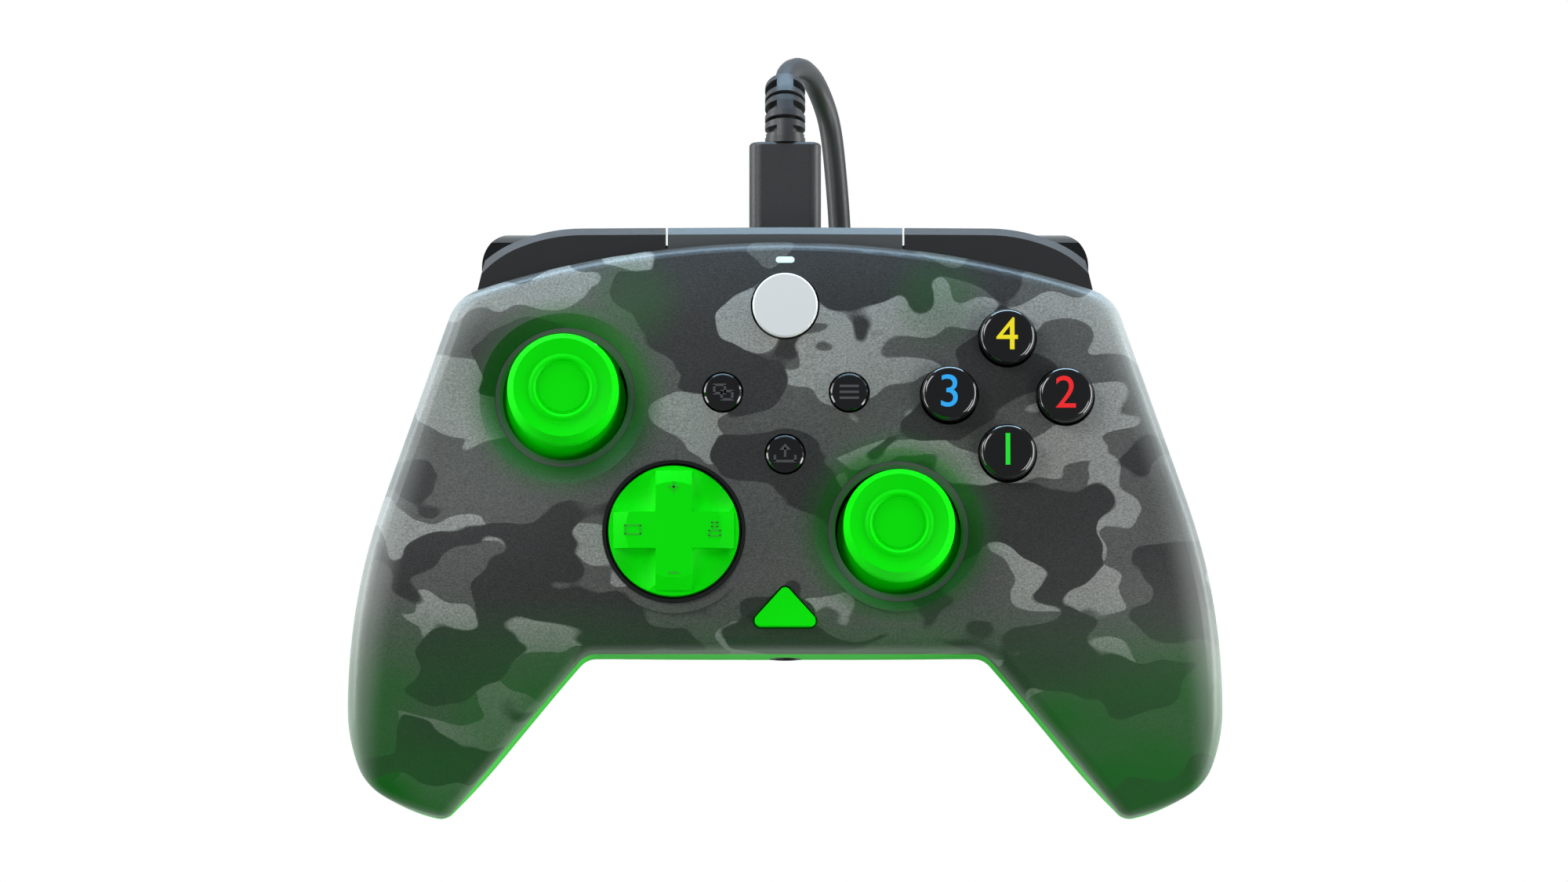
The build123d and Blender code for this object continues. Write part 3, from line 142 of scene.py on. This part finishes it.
def cable_route():
    """Every point of the cable's curve, from the strain relief to the far plug."""
    relief_y = PLUG_END_Y + RELIEF_BEND_R * math.sin(RELIEF_TURN)
    relief_z = PORT_Z - RELIEF_BEND_R * (1 - math.cos(RELIEF_TURN))
    coil = coil_points()
    turn = math.pi / 2 - COIL_AXIS
    heading = (math.cos(turn), -math.sin(turn))
    first, last = coil[0], coil[-1]
    before = [
        (first[0] - run * heading[0], first[1] - run * heading[1], first[2])
        for run in (COIL_STRAIGHT + LEAD_LAST_RUN, COIL_STRAIGHT)
    ]
    leave = (last[0] - COIL_STRAIGHT, last[1], last[2])
    tail_start = (leave[0] - TAIL_FIRST_RUN, leave[1], leave[2])
    tail_end = (FAR_PLUG[0] + TAIL_LAST_RUN, FAR_PLUG[1], FAR_PLUG[2])
    places = [
        (0, relief_y, relief_z), *LEAD, *before, *coil,
        leave, tail_start, *TAIL, tail_end, FAR_PLUG,
    ]
    return [face_point(*place) for place in places]


# The points' radius carries the cable's, so that the curve's box has its true size
route = cable_route()
cable_curve = bpy.data.curves.new("cable", "CURVE")
cable_curve.dimensions = "3D"
cable_curve.bevel_depth = 1.0
cable_curve.bevel_resolution = CURVE_ROUNDNESS
cable_curve.use_fill_caps = True
spline = cable_curve.splines.new("NURBS")
spline.points.add(len(route) - 1)
for point, place in zip(spline.points, route):
    point.co = (*place, 1)
    point.radius = CABLE_R
spline.order_u = 3
spline.use_endpoint_u = True
spline.resolution_u = CURVE_STEPS
cable = add_object("cable", cable_curve)
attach(cable, "cable")
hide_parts("cable_lead", "cable_coil", "cable_tail")


# Building blocks of the materials
GRAIN_HEIGHT, GRAIN_DETAIL = 0.05 * MM, 2.0
ROUGHNESS_SPREAD, ROUGHNESS_LEAST = 0.05, 0.02
PLAIN_COAT_ROUGHNESS = 0.06
NOISE_STRETCH = (1.0, 1.55, 1.0)
MIX_FACTOR, MIX_A, MIX_B, MIX_RESULT = 0, 6, 7, 2


def linear(*rgb):
    """A colour of 0 to 255 display values, taken through the sRGB curve for the shader."""
    out = []
    for value in rgb:
        share = value / 255
        out.append(share / 12.92 if share <= 0.04045 else ((share + 0.055) / 1.055) ** 2.4)
    return (*out, 1.0)


def set_sockets(made, values):
    """Sets a node's own input values by their names."""
    for name, value in values.items():
        made.inputs[name].default_value = value


class Graph:
    """The nodes of one material. A value given to a step is a number, a colour or a socket."""

    def __init__(self, name):
        self.material = bpy.data.materials.new(name)
        self.material.use_nodes = True
        self.nodes = self.material.node_tree.nodes
        self.links = self.material.node_tree.links
        self.shader = self.nodes["Principled BSDF"]
        self.place = self.add("ShaderNodeTexCoord").outputs["Object"]

    def add(self, kind, **settings):
        made = self.nodes.new(kind)
        for key, value in settings.items():
            setattr(made, key, value)
        return made

    def feed(self, socket, value):
        if isinstance(value, bpy.types.NodeSocket):
            self.links.new(value, socket)
        else:
            socket.default_value = value

    def math(self, operation, *values, clamp=False):
        made = self.add("ShaderNodeMath", operation=operation, use_clamp=clamp)
        for socket, value in zip(made.inputs, values):
            self.feed(socket, value)
        return made.outputs[0]

    def vector(self, operation, a, b):
        """A step on vectors: SCALE takes a number second, DISTANCE gives a number."""
        made = self.add("ShaderNodeVectorMath", operation=operation)
        self.feed(made.inputs[0], a)
        self.feed(made.inputs["Scale"] if operation == "SCALE" else made.inputs[1], b)
        return made.outputs["Value" if operation == "DISTANCE" else "Vector"]

    def noise(self, scale, offset, detail, vector=None, output="Fac"):
        """A noise in the part's own coordinates, its patches shorter along Y than along X."""
        shift = self.add("ShaderNodeMapping")
        set_sockets(shift, {"Location": offset, "Scale": NOISE_STRETCH})
        self.feed(shift.inputs["Vector"], vector or self.place)
        made = self.add("ShaderNodeTexNoise")
        set_sockets(made, {"Scale": scale, "Detail": detail})
        self.feed(made.inputs["Vector"], shift.outputs["Vector"])
        return made.outputs[output]

    def step(self, value, low, high):
        """0 up to the first value, 1 from the second, smooth between them."""
        edge = self.add("ShaderNodeMapRange", interpolation_type="SMOOTHSTEP")
        set_sockets(edge, {"From Min": low, "From Max": high})
        self.feed(edge.inputs["Value"], value)
        return edge.outputs["Result"]

    def mix(self, share, a, b):
        made = self.add("ShaderNodeMix", data_type="RGBA")
        for index, value in ((MIX_FACTOR, share), (MIX_A, a), (MIX_B, b)):
            self.feed(made.inputs[index], value)
        return made.outputs[MIX_RESULT]

    def near(self, point, full, gone):
        """1 within the first distance of a point of the face, falling to 0 at the second."""
        flat = self.vector("MULTIPLY", self.place, (1, 1, 0))
        away = self.vector("DISTANCE", flat, (point[0], point[1], 0))
        return self.math("SUBTRACT", 1.0, self.step(away, full, gone))

    def bump(self, height, strength):
        made = self.add("ShaderNodeBump")
        set_sockets(made, {"Strength": strength, "Distance": GRAIN_HEIGHT})
        self.feed(made.inputs["Height"], height)
        self.feed(self.shader.inputs["Normal"], made.outputs["Normal"])


def plain(
    name, colour, roughness, coat=0.0, metallic=0.0, glow=0.0,
    grain=0.0, grain_scale=900.0, specular=0.5,
):
    """A moulded or metal finish with a fine uneven grain in its roughness and relief."""
    graph = Graph(name)
    set_sockets(graph.shader, {
        "Base Color": colour, "Metallic": metallic, "Specular IOR Level": specular,
        "Coat Weight": coat, "Coat Roughness": PLAIN_COAT_ROUGHNESS,
    })
    # Emission: the status light's own light, and on the green shell, green trim and digits a
    # painted glow, as they are no lamps.
    if glow:
        set_sockets(graph.shader, {"Emission Color": colour, "Emission Strength": glow})
    noise = graph.add("ShaderNodeTexNoise")
    set_sockets(noise, {"Scale": grain_scale, "Detail": GRAIN_DETAIL})
    graph.feed(noise.inputs["Vector"], graph.place)
    spread = graph.add("ShaderNodeMapRange")
    set_sockets(spread, {
        "To Min": max(roughness - ROUGHNESS_SPREAD, ROUGHNESS_LEAST),
        "To Max": roughness + ROUGHNESS_SPREAD,
    })
    graph.feed(spread.inputs["Value"], noise.outputs["Fac"])
    graph.feed(graph.shader.inputs["Roughness"], spread.outputs["Result"])
    if grain:
        graph.bump(noise.outputs["Fac"], grain)
    return graph.material


# Smoke shell. A pair named TONE, CLOUD or COVER is a factor and an offset, a pair named EDGES
# or REACH is where a smooth step starts and ends.
CAMO_DARK, CAMO_MID, CAMO_LIGHT = linear(47, 48, 48), linear(78, 80, 78), linear(130, 133, 130)
# The rim grey is the colour of a painted highlight along the shell's outer sides.
DEEP_GREEN, RIM_HIGHLIGHT_GREY = linear(0, 92, 12), linear(176, 182, 178)
# Scale, place and detail of the noises, and the edges of the patches cut from two of them
WARP_NOISE, WARP_REACH = (70, (3.1, 7.7, 0.4), 1.0), 16 * MM
DARK_NOISE, DARK_EDGES = (44, (1.3, 0.2, 5.0), 0.8), (0.535, 0.548)
LIGHT_NOISE, LIGHT_EDGES = (50, (8.3, 2.2, 1.0), 0.8), (0.535, 0.545)
CLOUD_NOISE = (30, (0.3, 4.0, 2.0), 2.0)
SPARKLE_NOISE = (2600, (0, 0, 0), 2.0)
SPARKLE_TONE, CLOUD_TONE = (1.7, 0.15), (0.5, 0.75)
# Green from the first Y of the grips, full at the second
GRIP_GREEN_Y, GRIP_CLOUD = (-12 * MM, -34 * MM), (1.6, -0.05)
STICK_GLOW_REACH, STICK_GLOW = (12 * MM, 19 * MM), 0.8
FAINT_X, FAINT_Y, FAINT_REACH, FAINT_GLOW = 27, 25, (2 * MM, 11 * MM), 0.7
DARK_COVER = (-0.3, 1.0)
# The right outer side lies close to one arc, in millimetres from the middle of the face, and
# the left one mirrors it
SIDE_CENTRE, SIDE_R, RIM_WIDTH, RIM_BEYOND = (-143.7, -67.3), 222.5, 7.0, 1.0
RIM_CLOUD = (0.7, 0.15)
SHELL_GRAIN = 0.1
SHELL_FINISH = {
    "Roughness": 0.36, "Coat Weight": 0.12, "Coat Roughness": 0.2, "Specular IOR Level": 0.3,
}


def camouflage(graph, cloud, sparkle):
    """Hard-edged patches of three greys with an uneven tone, and where the dark ones are."""
    warp = graph.noise(*WARP_NOISE, output="Color")
    centred = graph.vector("SUBTRACT", warp, (0.5, 0.5, 0.5))
    bent = graph.vector("ADD", graph.place, graph.vector("SCALE", centred, WARP_REACH))
    dark = graph.step(graph.noise(*DARK_NOISE, vector=bent), *DARK_EDGES)
    light = graph.step(graph.noise(*LIGHT_NOISE, vector=bent), *LIGHT_EDGES)
    greys = graph.mix(dark, graph.mix(light, CAMO_MID, CAMO_LIGHT), CAMO_DARK)
    grain = graph.math("MULTIPLY_ADD", sparkle, *SPARKLE_TONE)
    tone = graph.math("MULTIPLY", grain, graph.math("MULTIPLY_ADD", cloud, *CLOUD_TONE))
    return graph.vector("SCALE", greys, tone), dark


def green_glow(graph, cloud, dark, y):
    """How far green shows through: in the grips, round the sticks and in two faint patches."""
    patchy = graph.math("MULTIPLY_ADD", cloud, *GRIP_CLOUD, clamp=True)
    green = graph.math("MULTIPLY", graph.step(y, *GRIP_GREEN_Y), patchy)
    for side in SIDES:
        middle = sum(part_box(side + "_stick_ring"), Vector()) / 2
        ring = graph.math("MULTIPLY", graph.near(middle, *STICK_GLOW_REACH), STICK_GLOW)
        green = graph.math("MAXIMUM", green, ring)
    for x in (FAINT_X, -FAINT_X):
        patch = graph.near(face_point(x, FAINT_Y, 0), *FAINT_REACH)
        faint = graph.math("MULTIPLY", patch, graph.math("MULTIPLY", cloud, FAINT_GLOW))
        green = graph.math("MAXIMUM", green, faint)
    cover = graph.math("MULTIPLY_ADD", dark, *DARK_COVER)
    return graph.math("MULTIPLY", green, cover, clamp=True)


def painted_rim_highlight(graph, cloud, x, y):
    """Painted highlight: how far the shell's colour is lightened, most at its outer sides,
    standing in for the side lamps' reflection.
    """
    mirrored = graph.add("ShaderNodeCombineXYZ")
    graph.feed(mirrored.inputs["X"], graph.math("ABSOLUTE", x))
    graph.feed(mirrored.inputs["Y"], y)
    centre = (SIDE_CENTRE[0] * MM, SIDE_CENTRE[1] * MM + FACE_Y, 0)
    out = graph.vector("DISTANCE", mirrored.outputs[0], centre)
    rim = graph.step(out, (SIDE_R - RIM_WIDTH) * MM, (SIDE_R + RIM_BEYOND) * MM)
    return graph.math("MULTIPLY", rim, graph.math("MULTIPLY_ADD", cloud, *RIM_CLOUD))


def smoke_shell():
    """Smoke plastic with a camouflage of three greys, over green parts that glow through it,
    with a painted highlight along its outer sides.
    """
    graph = Graph("smoke_shell")
    cloud, sparkle = graph.noise(*CLOUD_NOISE), graph.noise(*SPARKLE_NOISE)
    camo, dark = camouflage(graph, cloud, sparkle)
    split = graph.add("ShaderNodeSeparateXYZ")
    graph.feed(split.inputs[0], graph.place)
    x, y = split.outputs["X"], split.outputs["Y"]
    glowing = graph.mix(green_glow(graph, cloud, dark, y), camo, DEEP_GREEN)
    # Painted highlight: the shell's outer sides are lightened towards a pale grey.
    colour = graph.mix(painted_rim_highlight(graph, cloud, x, y), glowing, RIM_HIGHLIGHT_GREY)
    graph.feed(graph.shader.inputs["Base Color"], colour)
    set_sockets(graph.shader, SHELL_FINISH)
    graph.bump(sparkle, SHELL_GRAIN)
    return graph.material


# Name, display colour, roughness and what else departs from a plain finish
FINISHES = (
    # The glow of the green shell and the green trim is a painted glow.
    ("green_shell", (0, 184, 2), 0.4, {"glow": 0.14, "grain": 0.1, "specular": 0.18}),
    ("black_gloss", (8, 8, 9), 0.12, {"coat": 0.5}),
    # The bumpers' black is lighter than the black gloss: a painted reflection of the lamps and
    # sky on their flats.
    ("bumper_black", (34, 34, 35), 0.14, {"coat": 1.0}),
    ("bridge_black", (70, 73, 73), 0.32, {"coat": 0.3, "grain": 0.1}),
    ("green_trim", (0, 216, 0), 0.5,
     {"glow": 0.04, "grain": 0.15, "grain_scale": 1500, "specular": 0.08}),
    ("clear_ring", (66, 82, 70), 0.15, {"coat": 0.6}),
    ("white_trim", (214, 216, 217), 0.35, {"coat": 0.2}),
    ("steel", (170, 172, 176), 0.3, {"metallic": 1.0}),
    ("weight_metal", (190, 170, 110), 0.35, {"metallic": 1.0}),
    ("module_plastic", (30, 30, 32), 0.5, {}),
    ("board", (16, 92, 52), 0.35, {"coat": 0.4}),
    ("sheet_rubber", (150, 152, 154), 0.7, {}),
    ("cable_rubber", (44, 44, 45), 0.42, {"grain": 0.3, "grain_scale": 1800}),
    ("light", (205, 238, 238), 0.3, {"glow": 0.5}),
    ("mark", (70, 72, 74), 0.35, {}),
    ("pad_mark", (0, 176, 0), 0.5, {}),
    # The digits' glow is a painted glow too.
    ("digit_top", (232, 214, 20), 0.3, {"coat": 0.5, "glow": 0.1}),
    ("digit_left", (38, 160, 232), 0.3, {"coat": 0.5, "glow": 0.1}),
    ("digit_right", (232, 28, 32), 0.3, {"coat": 0.5, "glow": 0.1}),
    ("digit_bottom", (16, 214, 40), 0.3, {"coat": 0.5, "glow": 0.1}),
)
materials = {"smoke_shell": smoke_shell()}
for name, rgb, roughness, extra in FINISHES:
    materials[name] = plain(name, linear(*rgb), roughness, **extra)


# The CAD nodes take the material of their slot; a few have a finish of their own
SMOOTH_ANGLE = math.radians(32)


def dress(obj, material):
    """Gives an object one material, by its name."""
    obj.data.materials.clear()
    obj.data.materials.append(materials[material])
    return obj


def smooth(mesh):
    """Rounds the shading of a mesh, apart from its sharp edges."""
    mesh.shade_smooth()
    mesh.set_sharp_from_angle(angle=SMOOTH_ANGLE)


slot_of = {part["node"]: part["material_slot"] for part in frame["record"]["subparts"]}
for name, obj in frame["nodes"].items():
    dress(obj, slot_of[name])
    smooth(obj.data)
dress(frame["nodes"]["status_light"], "light")
dress(frame["nodes"]["top_bridge"], "bridge_black")
# The bumpers take the black gloss lightened by a painted reflection.
for side in SIDES:
    dress(frame["nodes"][side + "_bumper"], "bumper_black")
dress(cable, "cable_rubber")


def top_centre(node_name):
    """Middle of the top of a CAD node."""
    low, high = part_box(node_name)
    return Vector(((low.x + high.x) / 2, (low.y + high.y) / 2, high.z))


def add_piece(name, verts, faces, material, body, rounded=False):
    """A mesh of the scene's own that rides on a body."""
    mesh = bpy.data.meshes.new(name)
    mesh.from_pydata(verts, [], faces)
    if rounded:
        smooth(mesh)
    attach(dress(add_object(name, mesh), material), body)


# Digits on the face buttons
MARK_RISE = 0.06 * MM
DIGITS = {"bottom": "1", "right": "2", "left": "3", "top": "4"}
DIGIT_SIZE = 8.2 * MM
for place, digit in DIGITS.items():
    button = "button_" + place
    words = bpy.data.curves.new("digit_" + place, "FONT")
    words.body, words.size = digit, DIGIT_SIZE
    words.align_x = words.align_y = "CENTER"
    words.extrude = MARK_RISE
    text = add_object("text_" + place, words)
    text.location = top_centre(button)
    bpy.context.view_layer.update()
    depsgraph = bpy.context.evaluated_depsgraph_get()
    mesh = bpy.data.meshes.new_from_object(text.evaluated_get(depsgraph))
    mesh.transform(text.matrix_world)
    bpy.data.objects.remove(text)
    digit_piece = dress(add_object("digit_" + place, mesh), "digit_" + place)
    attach(digit_piece, button)


# Pictograms on the small buttons and the direction pad, in millimetres round their middles
def flat_shape(name, outlines, at, material, body):
    """Flat raised shapes, each a closed outline round a place."""
    verts, faces = [], []
    for outline in outlines:
        base, count = len(verts), len(outline)
        for z in (-MARK_RISE, MARK_RISE):
            verts += [(at.x + x * MM, at.y + y * MM, at.z + z) for x, y in outline]
        faces.append([base + count + i for i in range(count)])
        for i in range(count):
            j = (i + 1) % count
            faces.append([base + i, base + j, base + count + j, base + count + i])
    add_piece(name, verts, faces, material, body)


def bar(x, y, width, height):
    """Outline of a bar round its middle."""
    left, right = x - width / 2, x + width / 2
    low, high = y - height / 2, y + height / 2
    return [(left, low), (right, low), (right, high), (left, high)]


def frame_bars(x, y, width, height, line):
    """Four bars that make an open rectangle."""
    across, up = width - line, height - line
    return [
        bar(x, y + up / 2, width, line), bar(x, y - up / 2, width, line),
        bar(x - across / 2, y, line, up), bar(x + across / 2, y, line, up),
    ]


LINE, PAD_LINE, PAD_FRAME_LINE = 0.42, 0.35, 0.3
BUTTON_MARKS = {
    "menu_button": [bar(0, y, 3.4, LINE) for y in (-1.05, 0, 1.05)],
    "view_button": [
        *frame_bars(-0.55, 0.5, 2.3, 1.9, LINE), *frame_bars(0.75, -0.6, 2.3, 1.9, LINE),
    ],
    "share_button": [
        bar(0, -1.3, 4.0, LINE), bar(-1.8, -0.8, LINE, 1.2), bar(1.8, -0.8, LINE, 1.2),
        bar(0, 0.3, LINE, 1.7), [(-1.0, 0.7), (1.0, 0.7), (0, 1.8)],
    ],
}
PAD_MARKS = {
    "plus": [bar(0, 7.6, 1.9, PAD_LINE), bar(0, 7.6, PAD_LINE, 1.9)],
    "minus": [bar(0, -7.6, 1.7, PAD_LINE)],
    "left": frame_bars(-7.2, 0, 3.0, 1.9, PAD_FRAME_LINE),
    "right": [
        *frame_bars(7.2, -0.6, 2.2, 1.3, PAD_FRAME_LINE),
        *frame_bars(7.2, 0.9, 1.2, 1.2, PAD_FRAME_LINE),
    ],
}
for button, outlines in BUTTON_MARKS.items():
    flat_shape(button + "_mark", outlines, top_centre(button), "mark", button)
pad_top = top_centre("direction_pad")
for name, outlines in PAD_MARKS.items():
    flat_shape("pad_mark_" + name, outlines, pad_top, "pad_mark", "direction_pad")


# Stick tops: a flat middle, a groove round it and a raised ring, laid over the cap's dish.
# Radii and heights in millimetres, from the middle of the top down to a point inside the cap.
TOP_PROFILE = (
    (0.0, -0.55), (4.2, -0.55), (4.4, -0.72), (4.65, -0.72), (4.9, -0.4), (5.15, -0.14),
    (5.4, -0.1), (5.7, -0.2), (6.1, -0.5), (6.1, -1.0), (0.0, -2.2),
)
TOP_STEPS = 96


def turned(profile, at, steps):
    """Points and faces of a round piece, its profile turned round a place."""
    verts, faces = [], []
    count = len(profile)
    for i in range(steps):
        angle = math.tau * i / steps
        x, y = math.cos(angle), math.sin(angle)
        verts += [(at.x + r * MM * x, at.y + r * MM * y, at.z + z * MM) for r, z in profile]
        a, b = i * count, (i + 1) % steps * count
        faces += [[a + k + 1, a + k, b + k, b + k + 1] for k in range(count - 1)]
    return verts, faces


for side in SIDES:
    cap = side + "_stick_cap"
    verts, faces = turned(TOP_PROFILE, top_centre(cap), TOP_STEPS)
    add_piece(side + "_stick_top", verts, faces, "green_trim", cap, rounded=True)


# Cage round the bent strain relief: three segments, each of two rings joined by bars
CAGE_OUTER_R, CAGE_SKIN, CAGE_SEGMENTS = 3.6, 0.75, 3
CAGE_SEGMENT_SHARE, CAGE_RING_SHARE = 0.84, 0.27
CAGE_BAR_TURN = math.radians(24)
CAGE_RING_STEPS, CAGE_BAR_STEPS = 48, 6


def relief_place(share, angle, radius):
    """A place round the relief's bent axis, from its share of the bend."""
    turn = RELIEF_TURN * share
    out = RELIEF_BEND_R + radius * math.sin(angle)
    y = PLUG_END_Y + out * math.sin(turn)
    z = PORT_Z - RELIEF_BEND_R + out * math.cos(turn)
    return face_point(radius * math.cos(angle), y, z)


def add_patch(verts, faces, shares, angles, steps):
    """A closed curved block between two places along the relief and two angles round it."""
    base, outer, inner = len(verts), CAGE_OUTER_R, CAGE_OUTER_R - CAGE_SKIN
    low, high = shares
    corners = ((low, outer), (high, outer), (high, inner), (low, inner))
    for i in range(steps + 1):
        angle = angles[0] + (angles[1] - angles[0]) * i / steps
        verts += [relief_place(share, angle, radius) for share, radius in corners]
    for i in range(steps):
        a, b = base + 4 * i, base + 4 * i + 4
        faces += [[a + k, a + (k + 1) % 4, b + (k + 1) % 4, b + k] for k in range(4)]
    faces.append([base + k for k in range(4)])
    faces.append([base + 4 * steps + 3 - k for k in range(4)])


cage_verts, cage_faces = [], []
for i in range(CAGE_SEGMENTS):
    low = i / CAGE_SEGMENTS
    high = low + CAGE_SEGMENT_SHARE / CAGE_SEGMENTS
    ring = (high - low) * CAGE_RING_SHARE
    for shares in ((low, low + ring), (high - ring, high)):
        add_patch(cage_verts, cage_faces, shares, (0, math.tau), CAGE_RING_STEPS)
    for middle in (math.pi / 2, -math.pi / 2):
        angles = (middle - CAGE_BAR_TURN, middle + CAGE_BAR_TURN)
        add_patch(cage_verts, cage_faces, (low + ring, high - ring), angles, CAGE_BAR_STEPS)
add_piece("relief_cage", cage_verts, cage_faces, "cable_rubber", "cable", rounded=True)


# World and floor: white to the camera, a dim sky and a plain grey floor to all other rays
WHITE = (1, 1, 1, 1)
WORLD_COLOUR, WORLD_LEVEL = (0.93, 0.96, 1.0, 1.0), 0.22
FLOOR_SIZE, FLOOR_COLOUR, FLOOR_ROUGHNESS = 6.0, (0.8, 0.8, 0.8, 1), 0.9


def camera_only(tree, output_socket, lit, seen):
    """Shows one shader to the camera, also through clear parts, and another to other rays."""
    nodes, links = tree.nodes, tree.links
    path = nodes.new("ShaderNodeLightPath")
    mixer = nodes.new("ShaderNodeMixShader")
    direct = nodes.new("ShaderNodeMath")
    direct.operation = "MAXIMUM"
    links.new(path.outputs["Is Camera Ray"], direct.inputs[0])
    links.new(path.outputs["Is Transmission Ray"], direct.inputs[1])
    links.new(direct.outputs[0], mixer.inputs[0])
    links.new(lit, mixer.inputs[1])
    links.new(seen, mixer.inputs[2])
    links.new(mixer.outputs[0], output_socket)


world = bpy.data.worlds.new("studio")
scene.world = world
world.use_nodes = True
world_tree = world.node_tree
lit = world_tree.nodes["Background"]
set_sockets(lit, {"Color": WORLD_COLOUR, "Strength": WORLD_LEVEL})
seen = world_tree.nodes.new("ShaderNodeBackground")
set_sockets(seen, {"Color": WHITE})
world_output = world_tree.nodes["World Output"]
camera_only(world_tree, world_output.inputs["Surface"], lit.outputs[0], seen.outputs[0])

half = FLOOR_SIZE / 2
floor_corners = [(-half, -half, 0), (half, -half, 0), (half, half, 0), (-half, half, 0)]
floor_mesh = bpy.data.meshes.new("floor")
floor_mesh.from_pydata(floor_corners, [], [(0, 1, 2, 3)])
floor = add_object("floor", floor_mesh)
floor_graph = Graph("floor")
set_sockets(floor_graph.shader, {"Base Color": FLOOR_COLOUR, "Roughness": FLOOR_ROUGHNESS})
white = floor_graph.add("ShaderNodeEmission")
camera_only(
    floor_graph.material.node_tree, floor_graph.nodes["Material Output"].inputs["Surface"],
    floor_graph.shader.outputs[0], white.outputs[0],
)
floor_mesh.materials.append(floor_graph.material)


# Lamps: soft rectangles, all pointing at one place of the gamepad. Name, place and size in
# millimetres, power in watts, colour.
LAMP_AIM = (0, 0, 30)
STRIP_SIZE = (900, 240)
NEUTRAL, COOL = (1, 1, 1), (0.5, 0.76, 1.0)
LAMPS = (
    ("key", (-520, 430, 780), (420, 420), 4.4, NEUTRAL),
    ("fill", (600, -260, 700), (420, 320), 2.6, NEUTRAL),
    ("left_strip", (-700, 60, 130), STRIP_SIZE, 5.0, NEUTRAL),
    ("right_strip", (700, -60, 130), STRIP_SIZE, 6.0, NEUTRAL),
    ("back_strip", (0, 800, 110), (900, 220), 10.0, COOL),
)
for name, at, size, power, colour in LAMPS:
    data = bpy.data.lights.new(name, "AREA")
    data.shape = "RECTANGLE"
    data.size, data.size_y = size[0] * MM, size[1] * MM
    data.energy, data.color = power, colour
    made = add_object(name, data)
    made.location = Vector(at) * MM
    direction = Vector(LAMP_AIM) * MM - made.location
    made.rotation_euler = direction.to_track_quat("-Z", "Y").to_euler()
    made.visible_camera = False

scene.view_settings.view_transform = "Standard"
